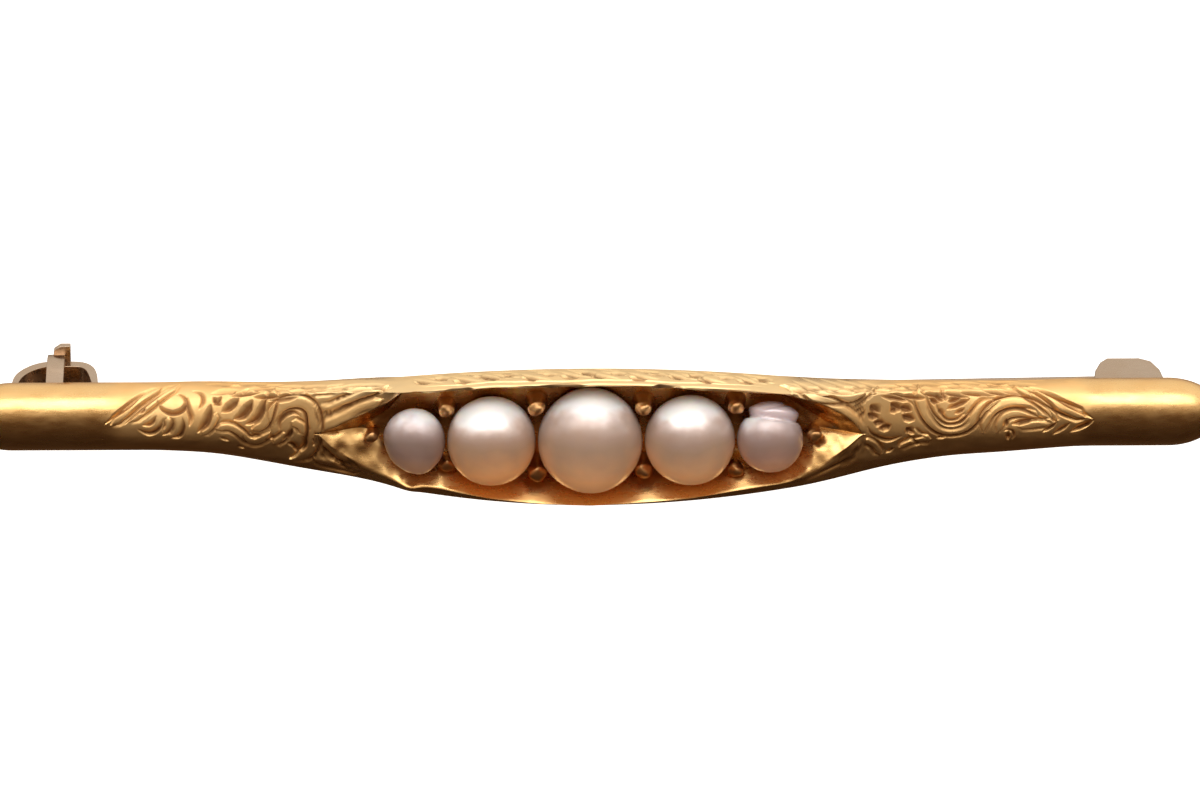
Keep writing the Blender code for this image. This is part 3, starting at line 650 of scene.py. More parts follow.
RIGHT_BANDS = (
    (8, 0.07, (-40, 48), (0, 54), (90, 86), (200, 96), (260, 80), (312, 50)),
    (7, 0.07, (0, 76), (70, 92), (150, 112), (210, 150), (262, 197)),
    (8, 0.07, (258, 240), (200, 292), (110, 340), (20, 378)), (8, 0.05, (425, 208), (463, 236), (503, 240)),
    (5, 0.05, (388, 272), (430, 252), (488, 240)),
    (10, 0.08, (457, 42), (468, 110), (500, 172), (550, 207), (612, 202), (652, 170), (692, 122),
     (752, 100)),
    (6, 0.06, (500, 100), (516, 145), (552, 184), (602, 183), (642, 148)),
    (10, 0.08, (690, 218), (700, 162), (740, 122), (810, 105), (880, 130), (942, 180)),
    (7, 0.06, (740, 218), (758, 172), (790, 150), (850, 148), (892, 165)),
    (7, 0.05, (815, 195), (900, 186), (947, 180)), (6, 0.07, (797, 48), (860, 86), (920, 130), (957, 176)),
    (9, 0.07, (855, 66), (960, 120), (1058, 166)), (6, 0.05, (262, 242), (300, 262), (322, 297)),
    (7, 0.05, (168, 322), (200, 308), (232, 288)),
)

# The rosette on the right shoulder, all in millimetres. Columns: width, depth, and points of the path as
# (place along the bar, place up from its axis in the camera's view).
ROSETTE_CUTS = (
    (0.13, 0.05, (7.86, 0.42), (8.23, 0.58), (8.74, 0.52), (9.14, 0.30), (9.42, -0.10)),
    (0.16, 0.07, (7.88, -0.36), (8.08, -0.62), (8.48, -0.77), (8.88, -0.66)),
    (0.32, 0.10, (7.98, 0.25), (8.26, -0.02)), (0.30, 0.10, (7.90, 0.00), (8.26, -0.17)),
    (0.28, 0.09, (8.04, -0.27), (8.42, -0.28)), (0.28, 0.09, (8.20, -0.47), (8.58, -0.34)),
    (0.32, 0.10, (8.55, 0.30), (8.90, 0.06)), (0.24, 0.09, (8.52, 0.02), (8.72, 0.14)),
    (0.30, 0.10, (8.80, 0.19), (9.17, 0.06)), (0.30, 0.10, (8.86, -0.07), (9.26, -0.20)),
    (0.26, 0.09, (8.98, -0.42), (9.24, -0.58)),
)


def from_view(points, view):
    """Points of an enlarged view as places along the bar and up from its axis, to 0.01 mm."""
    left, top, scale = view
    column, row = (np.array([left, top]) + np.array(points, float) / scale).T
    axis = AXIS_PLACE[1] + AXIS_FALL * (column - AXIS_PLACE[0])
    return np.round(np.stack([column - MIDDLE_COLUMN, axis - row], -1) / PHOTO_SCALE, 2)


def smooth_curve(points, count=36):
    """Points evenly spread on a smooth curve through a few points."""
    points = np.array(points, float)
    if len(points) > 2:
        padded = np.concatenate([[2 * points[0] - points[1]], points, [2 * points[-1] - points[-2]]])
        share = np.linspace(0, 1, 13)[:-1, None]
        spans = []
        for a, b, c, d in zip(padded, padded[1:], padded[2:], padded[3:]):
            square = (2 * a - 5 * b + 4 * c - d) * share ** 2
            cube = (3 * b - a - 3 * c + d) * share ** 3
            spans.append(0.5 * (2 * b + (c - a) * share + square + cube))
        points = np.concatenate(spans + [points[-1:]])
    steps = np.concatenate(([0], np.cumsum(np.linalg.norm(np.diff(points, axis=0), axis=1))))
    even = np.linspace(0, steps[-1], count)
    return np.stack([np.interp(even, steps, points[:, i]) for i in range(2)], -1)


FINE_TURNS = np.linspace(-math.pi, math.pi, 721)


def lengths_round(x):
    """Length round the section from its front to each of the fine turns, negative towards -Y."""
    y, z = outside_point(np.asarray(x, float)[:, None], FINE_TURNS[None, :])
    steps = np.hypot(np.diff(y, axis=1), np.diff(z, axis=1))
    total = np.concatenate([np.zeros((len(y), 1)), np.cumsum(steps, 1)], 1)
    middle = len(FINE_TURNS) // 2
    return total - total[:, middle:middle + 1], y, z


def to_widest(lengths):
    """Length from the front to the widest place towards +Y, for each row of lengths at the fine turns."""
    return np.array([np.interp(math.pi / 2, FINE_TURNS, row) for row in lengths])


def unrolled(points):
    """Points given as the camera sees them, as places along and round the bar."""
    x = points[:, 0]
    length, y, z = lengths_round(x)
    seen = y * math.cos(CAMERA_TILT) - z * math.sin(CAMERA_TILT)
    result = []
    for i in range(len(x)):
        lowest, highest = int(np.argmin(seen[i])), int(np.argmax(seen[i]))
        result.append(np.interp(points[i, 1], seen[i, lowest:highest + 1], length[i, lowest:highest + 1]))
    return np.stack([x, np.array(result)], -1)


def distance_to(curve, x, s):
    """Signed distance to a curve and the share of it that has gone by, at each place."""
    start, step = curve[:-1], np.diff(curve, axis=0)
    place = np.stack([x, s], -1)[:, None, :] - start[None]
    size = (step ** 2).sum(-1)
    share = np.clip((place * step).sum(-1) / size, 0, 1)
    apart = place - share[..., None] * step
    distance = np.hypot(apart[..., 0], apart[..., 1])
    nearest = distance.argmin(1)
    row = np.arange(len(nearest))
    cross = step[nearest, 0] * place[row, nearest, 1] - step[nearest, 1] * place[row, nearest, 0]
    return distance[row, nearest] * np.where(cross >= 0, 1, -1), (nearest + share[row, nearest]) / len(start)


EDGE_CUT = 0.13
EDGE_CUT_RUN = 0.03
NARROWEST_CUT = 0.024
CUT_WIDTH_FACTOR = 1.18
DEPTH_FACTOR = 1.6
FULL_DEPTH = 0.09
# Shares of a stroke's length over which a cut deepens and a band widens, and how they do it.
CUT_TAPER = 0.35
CUT_TAPER_POWER = 0.6
BAND_TAPER = 0.12
BAND_TIP = 0.15
DOME_SHARE = 0.42
LEAN_SHARE = 0.45
# Columns: from and to along the bar, then from and to round it from the front, positive towards +Y.
TOOLED_ZONES = ((-13.9, -5.2, -0.7, 2.2), (5.2, 14.4, -0.7, 2.2), (-6.0, 6.0, 1.6, 4.2))


def stroke_relief(kind, width, depth, curve, x, s):
    """Height that one stroke leaves above the plain surface, below zero in a cut.

    A band is a low dome with a cut line along each side. A cut is a V whose deepest line lies off its middle.
    """
    distance, along = distance_to(curve, x, s)
    to_end = np.minimum(along, 1 - along)
    taper = np.clip(to_end / CUT_TAPER, 0, 1) ** CUT_TAPER_POWER
    if kind == "band":
        half = width / 2 * np.clip(to_end / BAND_TAPER, BAND_TIP, 1)
        share = np.abs(distance) / half
        dome = depth * DOME_SHARE * np.clip(1 - share ** 4, 0, 1)
        apart = np.abs(distance) - half
        fall = 1 - (apart - EDGE_CUT_RUN) / (EDGE_CUT - EDGE_CUT_RUN)
        edge = np.clip(np.minimum(apart / EDGE_CUT_RUN, fall), 0, 1)
        return dome - depth * edge * taper
    half = np.maximum(width * taper, NARROWEST_CUT) / 2
    lean = LEAN_SHARE * half * (-1 if curve[-1, 0] > curve[0, 0] else 1)
    slope = np.minimum((distance + half) / (half + lean), (half - distance) / (half - lean))
    return -depth * taper * np.clip(slope, 0, 1)


def drawn_strokes():
    """The strokes of both shoulders as (kind, width, depth, curve along and round the bar)."""
    rows = [("cut", width, depth, np.array(points)) for width, depth, *points in ROSETTE_CUTS]
    for kind, table, view in (("cut", LEFT_CUTS, LEFT_VIEW), ("band", LEFT_BANDS, LEFT_VIEW),
                              ("cut", RIGHT_CUTS, RIGHT_VIEW), ("band", RIGHT_BANDS, RIGHT_VIEW)):
        for width, depth, *points in table:
            rows.append((kind, round(width / PHOTO_SCALE, 2), depth, from_view(points, view)))
    strokes = []
    for kind, width, depth, points in rows:
        factor = CUT_WIDTH_FACTOR if kind == "cut" else 1
        strokes.append((kind, width * factor, depth * DEPTH_FACTOR, unrolled(smooth_curve(points))))
    return strokes


# Columns: from and to along the bar, how far down the wall at each end, width and depth.
LEAF_CUTS = ((0.10, 0.66, 0.70, 0.56, 0.36, 0.19), (0.00, 0.98, 1.02, 0.44, 0.15, 0.13),
             (0.40, 1.22, 1.08, 0.66, 0.15, 0.13), (0.70, 1.14, 1.02, 0.88, 0.36, 0.18),
             (0.20, 1.00, 1.42, 1.16, 0.20, 0.14))
LEAF_PITCH = 1.02
LEAF_GROUPS = 10
FIRST_LEAF_GROUP = -5.1
LEAF_BEND = 0.07
GROOVE_REACH = 5.15
GROOVE_POINTS = 60
# Columns: how far down the wall, width and depth.
RIM_GROOVES = ((0.04, 0.10, 0.07), (0.30, 0.11, 0.09))


def wall_strokes():
    """Two grooves along the rim and the leaf cuts below them on the wall of the setting that faces +Y."""
    strokes = []
    places = np.linspace(-GROOVE_REACH, GROOVE_REACH, GROOVE_POINTS)
    widest = to_widest(lengths_round(places)[0])
    wave = 0.035 * np.sin(1.9 * places) + 0.02 * np.sin(4.3 * places + 1)
    for drop, width, depth in RIM_GROOVES:
        strokes.append(("cut", width, depth, np.stack([places, widest + drop + wave], -1)))
    for i in range(LEAF_GROUPS):
        start = FIRST_LEAF_GROUP + LEAF_PITCH * i + 0.11 * math.sin(2.1 * i)
        for first, last, drop_first, drop_last, width, depth in LEAF_CUTS:
            ends = np.array([start + first, start + last])
            drops = np.array([drop_first, drop_last]) + 0.07 * math.sin(3.7 * i + 9 * first)
            middle = (ends.mean(), drops.mean() - LEAF_BEND)
            line = smooth_curve([(ends[0], drops[0]), middle, (ends[1], drops[1])])
            round_bar = np.interp(line[:, 0], places, widest) + line[:, 1]
            strokes.append(("cut", width, depth, np.stack([line[:, 0], round_bar], -1)))
    return strokes


SHOULDER_LEAF_PITCH = 0.58
# How far the rows of leaves lie round the bar from its widest place. The first row starts further out.
SHOULDER_LEAF_ROWS = (-0.20, 0.16, 0.42)
FIRST_LEAF = 5.3
FIRST_LEAF_OF_FIRST_ROW = 7.9
LEAF_ROW_SHIFT = 0.22
LEAF_WIDTH = 0.22
LEAF_FADE = 1.5
# Columns: side of the middle, and how far along the bar the leaves reach there.
SHOULDER_LEAF_REACH = ((-1, 10.9), (1, 12.7))


def shoulder_leaves():
    """Rows of leaf cuts along the upper side of both shoulders, that lean towards the setting."""
    strokes = []
    for way, reach in SHOULDER_LEAF_REACH:
        for i in range(int((reach - FIRST_LEAF) / SHOULDER_LEAF_PITCH)):
            for row, drop in enumerate(SHOULDER_LEAF_ROWS):
                start = FIRST_LEAF + SHOULDER_LEAF_PITCH * i + LEAF_ROW_SHIFT * row
                start += 0.07 * math.sin(2.7 * i + row)
                if row == 0 and start < FIRST_LEAF_OF_FIRST_ROW:
                    continue
                fade = 1 - smooth_step(reach - LEAF_FADE, reach, start)
                lean = 0.10 + 0.04 * math.sin(1.9 * i + 2 * row)
                along = way * (start + np.array([0.0, 0.40, 0.86 + 0.1 * math.sin(3.1 * i)]))
                widest = to_widest(lengths_round(along)[0])
                up = widest + drop + lean * np.array([1.0, 0.30, -1.0])
                width = LEAF_WIDTH + 0.04 * math.sin(4.1 * i + row)
                strokes.append(("cut", width, 0.10 * fade + 0.01, smooth_curve(np.stack([along, up], -1))))
    return strokes


# Each of these says where a share of a surface layer starts to rise, is full, starts to fall and has gone.
PAINTED_LIGHT_BEYOND_WIDEST = (-0.5, 0.1, 1.6, 2.2)
EVEN_ROUND = (-0.35, 0.75, 1.1, 1.6)
EVEN_ALONG = (5.0, 7.0, 11.8, 14.2)
PAINTED_LIGHT_ENDS = (6.0, 10.0)
ZONE_FADE_ALONG = 0.6
ZONE_FADE_ROUND = 0.3
BEYOND_STROKES = 99.0
STROKES = drawn_strokes() + wall_strokes() + shoulder_leaves()


def engraved(grid, turn):
    """The grid with the engraving cut into it, and each place's shares of the surface layers: cut depth,
    tooling, the painted light side and the less metallic shoulders.
    """
    x = grid[:, 0, 0]
    folded = np.where(turn > math.pi, turn - 2 * math.pi, turn)
    fine = lengths_round(x)[0]
    length = np.full(turn.shape, BEYOND_STROKES)
    for i in range(len(x)):
        good = ~np.isnan(folded[i])
        length[i, good] = np.interp(folded[i, good], FINE_TURNS, fine[i])
    flat_x = grid[..., 0].reshape(-1)
    flat_s = length.reshape(-1)
    raised = np.zeros(len(flat_x))
    sunk = np.zeros(len(flat_x))
    for kind, width, depth, curve in STROKES:
        reach = width / 2 + EDGE_CUT
        low, high = curve.min(0) - reach, curve.max(0) + reach
        inside = (flat_x > low[0]) & (flat_x < high[0]) & (flat_s > low[1]) & (flat_s < high[1])
        near = np.nonzero(inside)[0]
        if len(near) == 0:
            continue
        relief = stroke_relief(kind, width, depth, curve, flat_x[near], flat_s[near])
        raised[near] = np.maximum(raised[near], relief)
        sunk[near] = np.minimum(sunk[near], relief)
    relief = (raised + sunk).reshape(turn.shape)
    moved = grid + grid_normals(grid) * relief[..., None]
    # Share of the full cut depth; the gold is darkened by it, partly as tarnish and partly as painted shade.
    cut = np.clip(-sunk.reshape(turn.shape) / FULL_DEPTH, 0, 1)
    along = grid[..., 0]
    tooled = np.zeros(turn.shape)
    for left, right, low, high in TOOLED_ZONES:
        zone = between((left, left + ZONE_FADE_ALONG, right - ZONE_FADE_ALONG, right), along)
        zone = zone * between((low - ZONE_FADE_ROUND, low, high, high + ZONE_FADE_ROUND), length)
        tooled = np.maximum(tooled, zone)
    beyond = length - to_widest(fine)[:, None]
    # Painted light: the side beyond the widest place towards +Y, fading out towards the ends of the bar.
    painted_light_side = between(PAINTED_LIGHT_BEYOND_WIDEST, beyond) * (1 - smooth_step(*PAINTED_LIGHT_ENDS, np.abs(along)))
    even = between(EVEN_ROUND, length) * between(EVEN_ALONG, np.abs(along))
    return moved, (cut, tooled, painted_light_side, even)


# The bar
FRONT_TURNS = (-1.5, 2.3)
SPARSE_BACK = 0.4


def front_density(turn):
    """More points on the front and the top than on the back of the bar."""
    folded = np.mod(turn + math.pi, 2 * math.pi) - math.pi
    low, high = FRONT_TURNS
    return np.where((folded > low) & (folded < high), 1.0, SPARSE_BACK)


def ring_turns(count):
    return spread_turns(-math.pi, math.pi, count + 1, front_density)[:-1]


BORDER = 7.85
PEARL_ROW_REACH = 5.1
SHOULDER_END = 14.6
END_STEPS = ((SHOULDER_END, 16.5, 0.08), (16.5, 17.5, 0.05), (17.5, BAR_REACH, 0.02))
SHOULDER_STEP = 0.026
CUT_STEP = 0.03
PEARL_ROW_STEP = 0.045
END_POINTS_ROUND = 140
SHOULDER_POINTS_ROUND = 250
TIP_GAP = 0.002


def with_margins(places):
    """The places with one more at each end, so that normals are right up to the ends."""
    before = 2 * places[0] - places[1]
    after = 2 * places[-1] - places[-2]
    return np.concatenate([[before], places, [after]])


def finished_piece(name, grid, turn):
    grid, surface_and_painted_light = engraved(grid, turn)
    grid[..., 1] = np.clip(grid[..., 1], -SETTING_HALF_WIDTH, SETTING_HALF_WIDTH)
    piece = bar_piece(name, grid[1:-1], grid_normals(grid)[1:-1], [share[1:-1] for share in surface_and_painted_light])
    dress(piece, "bar_body")


def make_bar():
    end = spread_places(END_STEPS)
    shoulder = spread_places(((BORDER, SHOULDER_END, SHOULDER_STEP),))
    for name, places, count in (("bar_left_end", -end[::-1], END_POINTS_ROUND),
                                ("bar_left_shoulder", -shoulder[::-1], SHOULDER_POINTS_ROUND),
                                ("bar_right_shoulder", shoulder, SHOULDER_POINTS_ROUND),
                                ("bar_right_end", end, END_POINTS_ROUND)):
        wide = np.clip(with_margins(places), -BAR_REACH + TIP_GAP, BAR_REACH - TIP_GAP)
        finished_piece(name, *plain_rows(wide, ring_turns(count)))
    places = spread_places(((-BORDER, -PEARL_ROW_REACH, CUT_STEP),
                            (-PEARL_ROW_REACH, PEARL_ROW_REACH, PEARL_ROW_STEP),
                            (PEARL_ROW_REACH, BORDER, CUT_STEP)))
    finished_piece("bar_setting", *setting_rows(with_margins(places)))


make_bar()


# Pearls and grain beads
def closed_sphere(across, around):
    """Unit directions and faces of a sphere with its poles along X."""
    lines = np.linspace(0, math.pi, across + 1)[1:-1]
    turns = np.linspace(0, 2 * math.pi, around, endpoint=False)
    a, b = np.meshgrid(lines, turns, indexing="ij")
    points = np.stack([np.cos(a), np.sin(a) * np.sin(b), np.sin(a) * np.cos(b)], -1).reshape(-1, 3)
    points = np.concatenate([points, [[1, 0, 0], [-1, 0, 0]]])
    rows = len(lines)
    index = np.arange(rows * around).reshape(rows, around)
    after = np.roll(index, -1, 1)
    faces = np.stack([index[:-1], after[:-1], after[1:], index[1:]], -1).reshape(-1, 4).tolist()
    near, far = rows * around, rows * around + 1
    faces += [[near, b, a] for a, b in zip(index[0], after[0])]
    faces += [[far, a, b] for a, b in zip(index[-1], after[-1])]
    return points, faces


def solid(name, parts, material):
    """One object from closed parts, each a list of points in millimetres and a list of faces."""
    points, faces = [], []
    for part_points, part_faces in parts:
        start = len(points)
        points.extend((np.asarray(part_points, float) * MM).tolist())
        faces.extend([[start + i for i in face] for face in part_faces])
    mesh = bpy.data.meshes.new(name)
    mesh.from_pydata(points, [], faces)
    mesh.update()
    bm = bmesh.new()
    bm.from_mesh(mesh)
    bmesh.ops.recalc_face_normals(bm, faces=bm.faces)
    bm.to_mesh(mesh)
    bm.free()
    mesh.shade_smooth()
    return new_object(name, mesh, material)


LEDGE_HEIGHT = 0.66
LEDGE_SLOPE = -0.13
LEDGE_SWELL = 0.17
# Columns: direction that a dent or a bulge faces, cosine of its reach, and how far it swells as a share.
EGG_FORMS = (((-0.70, -0.62, 0.36), 0.45, -0.085), ((0.10, -0.86, 0.50), 0.8, 0.03))
CREASE_DEPTH = 0.06
CREASE_WIDTH = 0.05
SECOND_CREASE = 0.17
SECOND_CREASE_SLOPE = 0.30
SECOND_CREASE_DEPTH = 0.04
SECOND_CREASE_WIDTH = 0.035


def pearl_swell(node, directions):
    """Share by which a pearl's surface swells in each direction, and where its folded layer lies."""
    x, up = directions[:, 0], directions @ IMAGE_UP
    swell = 0.992 + 0.008 * np.sin(3.3 * x + 2.1 * up + len(node)) * np.cos(2.9 * directions[:, 2] + 1.1)
    fold = np.zeros(len(directions))
    if node == "pearl_outer_left":
        for facing, reach, rise in EGG_FORMS:
            swell = swell + rise * smooth_step(reach, 1.0, directions @ np.array(facing))
    if node == "pearl_outer_right":
        above_ledge = up - (LEDGE_HEIGHT + LEDGE_SLOPE * x)
        fold = smooth_step(-0.02, 0.05, above_ledge)
        swell = swell + LEDGE_SWELL * smooth_step(0.0, 0.12, above_ledge)
        swell = swell - CREASE_DEPTH * np.exp(-(above_ledge / CREASE_WIDTH) ** 2)
        beyond_crease = above_ledge - SECOND_CREASE - SECOND_CREASE_SLOPE * x
        swell = swell - SECOND_CREASE_DEPTH * np.exp(-(beyond_crease / SECOND_CREASE_WIDTH) ** 2)
    return swell, fold


NACRES = {"pearl_outer_left": GREY_PEARL, "pearl_inner_left": WARM_PEARL, "pearl_centre": PEARL,
          "pearl_inner_right": PEARL, "pearl_outer_right": MAUVE_PEARL}


PEARL_POINTS = (72, 108)
# The painted light and shade share rises from 0 at the painted highlight cap on the side facing +Y. It is
# less at the ends and on the outer pearls, so that these are painted lighter.
PAINTED_LIGHT_START = 1.02
PAINTED_LIGHT_RANGE = 1.5
PAINTED_LIGHT_LESS_AT_ENDS = 0.22
PAINTED_LIGHT_LESS_OUTSIDE = 0.035


def make_pearls():
    for place, (node, radius, along, across, tall) in zip(PEARL_PLACES, PEARLS):
        directions, faces = closed_sphere(*PEARL_POINTS)
        swell, fold = pearl_swell(node, directions)
        points = directions * np.array([along, across, tall]) * radius * swell[:, None]
        points = points + np.array([place, 0, AXIS_HEIGHT + PEARL_HEIGHT])
        pearl = solid(node.replace("pearl", "nacre"), [(points, faces)], NACRES[node])
        ends = PAINTED_LIGHT_LESS_AT_ENDS * directions[:, 0] ** 2
        ends = ends * smooth_step(-0.4, 0.9, directions @ IMAGE_UP)
        outer = PAINTED_LIGHT_LESS_OUTSIDE if "outer" in node else 0.0
        # Painted light: lighter on the side facing +Y, darker towards the underside.
        painted_light_and_shade = (PAINTED_LIGHT_START - directions[:, 1]) / PAINTED_LIGHT_RANGE - ends - outer
        add_layer(pearl.data, "painted_light_and_shade", np.clip(painted_light_and_shade, 0, 1))
        add_layer(pearl.data, "fold", fold)
        dress(pearl, node)


make_pearls()


# Columns: x, y, height above the axis, radius of each bead.
GRAINS = ((-4.091, 0.8865, 1.26, 0.1995), (-4.091, -0.9062, 1.26, 0.1995),
          (-1.518, 1.0638, 1.50, 0.21), (-1.518, -1.0638, 1.50, 0.2205),
          (1.520, 1.0244, 1.44, 0.21), (1.520, -1.0244, 1.44, 0.2205),
          (4.143, 1.0244, 1.395, 0.1995), (4.143, -1.0441, 1.395, 0.1995),
          (-6.22, 0.0, 1.24, 0.147), (6.38, 0.0, 1.24, 0.1785))


BEAD_POINTS = (22, 30)
BEAD_STRETCH = (1.15, 1.05, 1.0)
FOOT_POINTS = 20
FOOT_OFFSET = -0.26
FOOT_DEPTH = 0.1
# Columns: share of the way from the foot to the bead, and the root's radius there as a share of the bead's.
ROOT_RINGS = ((0.0, 1.5), (0.35, 1.05), (0.7, 0.85), (1.0, 0.7))


def bands(rings, count):
    """Faces between rings of points that follow each other."""
    faces = []
    for low, high in zip(rings, rings[1:]):
        for i in range(count):
            after = (i + 1) % count
            faces.append([low * count + i, low * count + after, high * count + after, high * count + i])
    return faces


def caps(count, last):
    """Faces that close the first and the last ring."""
    return [list(range(count))[::-1], list(range(last * count, (last + 1) * count))]


def nugget(centre, radii, foot, seed):
    """An uneven bead that swells out of a wide root, as raised metal does."""
    directions, faces = closed_sphere(*BEAD_POINTS)
    uneven = 1 + 0.10 * np.sin(3.1 * directions[:, 0] + seed) * np.cos(2.7 * directions[:, 1] - 1.7 * seed)
    uneven = uneven + 0.07 * np.sin(5.3 * directions[:, 2] + 2.3 * directions[:, 0] + 3 * seed)
    bead = centre + directions * radii * uneven[:, None]
    turns = np.linspace(0, 2 * math.pi, FOOT_POINTS, endpoint=False)
    ring = np.stack([np.cos(turns), np.sin(turns), np.zeros(FOOT_POINTS)], -1)
    root = [blend(foot, centre, share) + ring * radii[0] * swell for share, swell in ROOT_RINGS]
    root_faces = bands(range(len(ROOT_RINGS)), FOOT_POINTS) + caps(FOOT_POINTS, len(ROOT_RINGS) - 1)
    return [(bead, faces), (np.concatenate(root), root_faces)]


def make_grains():
    parts = []
    for i, (x, y, height, radius) in enumerate(GRAINS):
        centre = np.array([x, y, AXIS_HEIGHT + height])
        foot = np.array([x, y + FOOT_OFFSET, AXIS_HEIGHT + BED_HEIGHT - FOOT_DEPTH])
        parts += nugget(centre, np.array(BEAD_STRETCH) * radius, foot, 1.3 * i)
    dress(solid("grain_beads", parts, BEAD_GOLD), "bar_body")


make_grains()


# Catch, hinge and stem
def plate(outline, low, high, place):
    """A closed plate with that outline between two depths; place turns (u, v, depth) into x, y, z."""
    points = [place(u, v, depth) for depth in (low, high) for u, v in outline]
    return points, bands(range(2), len(outline)) + caps(len(outline), 1)


def beside_path(path, thickness):
    """Points at the given distances to the left of a smooth path."""
    tangent = np.gradient(path, axis=0)
    across = np.stack([-tangent[:, 1], tangent[:, 0]], -1)
    across /= np.linalg.norm(across, axis=1, keepdims=True)
    return path + across * np.reshape(thickness, (-1, 1))


def rounded(obj, width):
    bevel = obj.modifiers.new("rounded edges", "BEVEL")
    bevel.width = width * MM
    bevel.segments = 3
    bevel.limit_method = "ANGLE"
    bevel.angle_limit = math.radians(40)
    bevel.harden_normals = False
    obj.data.set_sharp_from_angle(angle=math.radians(50))


def facing_side(place):
    """Places for a plate drawn along the bar and up from its axis, whose depth runs across the bar."""
    return lambda u, v, depth: (place + u, depth, AXIS_HEIGHT + v)


# Outlines and paths, in millimetres from the middle of the catch or the hinge and from the bar's axis.
CATCH_X = -15.32
BOW_PATH = ((-1.24, -0.90), (-1.19, -1.31), (-1.04, -1.65), (-0.77, -1.95), (-0.45, -2.14), (-0.12, -2.19),
            (0.52, -2.19), (0.82, -2.12), (1.04, -1.90), (1.17, -1.52), (1.24, -0.90))
BOW_DEPTHS = (0.02, 0.56)
BOW_END_THICKNESS = 0.14
BOW_MIDDLE_THICKNESS = 0.30
HOOK_PATH = ((0.52, -0.55), (0.67, -1.10), (0.775, -1.40), (0.79, -1.75), (0.72, -2.04), (0.56, -2.19),
             (-0.54, -2.19), (-0.756, -2.08), (-0.88, -1.84), (-0.90, -1.58), (-0.83, -1.31))
HOOK_THICKNESS = 0.22
HOOK_HALF_WIDTH = 0.25
CATCH_EDGE_WIDTH = 0.075
TAB = ((-0.25, 0.45), (0.25, 0.45), (0.26, 1.10), (-0.025, 1.10), (-0.215, 0.96))
TAB_OFFSET = 0.14
TAB_THICKNESS = 0.20
HINGE_X = 15.45
EAR = ((-1.025, -0.68), (-1.025, -0.97), (-0.943, -1.61), (-0.779, -2.07), (-0.574, -2.30), (0.349, -2.30),
       (0.677, -2.116), (0.902, -1.656), (1.025, -0.97), (1.025, -0.68))
EAR_DEPTHS = ((0.28, 0.46), (-0.46, -0.28))
EAR_EDGE_WIDTH = 0.04
WEB = ((-1.0, -0.80), (-1.0, -1.15), (1.0, -1.15), (1.0, -0.80))
WEB_HALF_WIDTH = 0.30
RIVET_RADIUS = 0.16
RIVET_HALF_WIDTH = 0.40
STEM_HEIGHT = 0.68
STEM_OFFSET_IN_HOOK = -0.46
STEM_RADIUS = 0.22
STEM_OVERHANG = 1.5
# Columns: distance from the point of the stem, and its radius there.
STEM_POINT = ((1.9, 0.205), (1.4, 0.18), (0.9, 0.135), (0.5, 0.09), (0.2, 0.05), (0.06, 0.028))
STEM_POINTS_ROUND = 24
# Columns: radius and place across the bar of each edge of the stem's eye.
EYE_EDGES = ((0.41, -0.23), (0.41, 0.23), (0.21, 0.23), (0.21, -0.23))


def make_catch():
    outer = smooth_curve(BOW_PATH, 60)
    bulge = np.sin(np.linspace(0, math.pi, len(outer))) ** 0.5
    inner = beside_path(outer, blend(BOW_END_THICKNESS, BOW_MIDDLE_THICKNESS, bulge))
    bow = np.concatenate([outer, inner[::-1]])
    middle = smooth_curve(HOOK_PATH, 48)
    half = HOOK_THICKNESS / 2
    hook = np.concatenate([beside_path(middle, half), beside_path(middle, -half)[::-1]])

    def across_bar(u, v, depth):
        return CATCH_X + depth, u, max(0, AXIS_HEIGHT + v)

    def flat(u, v, depth):
        return CATCH_X + TAB_OFFSET + u, v, depth

    parts = [plate(bow, *BOW_DEPTHS, facing_side(CATCH_X)),
             plate(hook, -HOOK_HALF_WIDTH, HOOK_HALF_WIDTH, across_bar),
             plate(TAB, 0.0, TAB_THICKNESS, flat)]
    catch = solid("catch_bow_and_hook", parts, PALE_GOLD)
    rounded(catch, CATCH_EDGE_WIDTH)
    dress(catch, "catch")


def make_hinge():
    turns = np.linspace(0, 2 * math.pi, 32, endpoint=False)
    rivet_height = STEM_HEIGHT - AXIS_HEIGHT
    rivet = [(RIVET_RADIUS * math.cos(t), rivet_height + RIVET_RADIUS * math.sin(t)) for t in turns]
    parts = [plate(EAR, low, high, facing_side(HINGE_X)) for low, high in EAR_DEPTHS]
    parts.append(plate(WEB, -WEB_HALF_WIDTH, WEB_HALF_WIDTH, facing_side(HINGE_X)))
    parts.append(plate(rivet, -RIVET_HALF_WIDTH, RIVET_HALF_WIDTH, facing_side(HINGE_X)))
    hinge = solid("hinge_ears_and_rivet", parts, PALE_GOLD)
    rounded(hinge, EAR_EDGE_WIDTH)
    dress(hinge, "hinge")


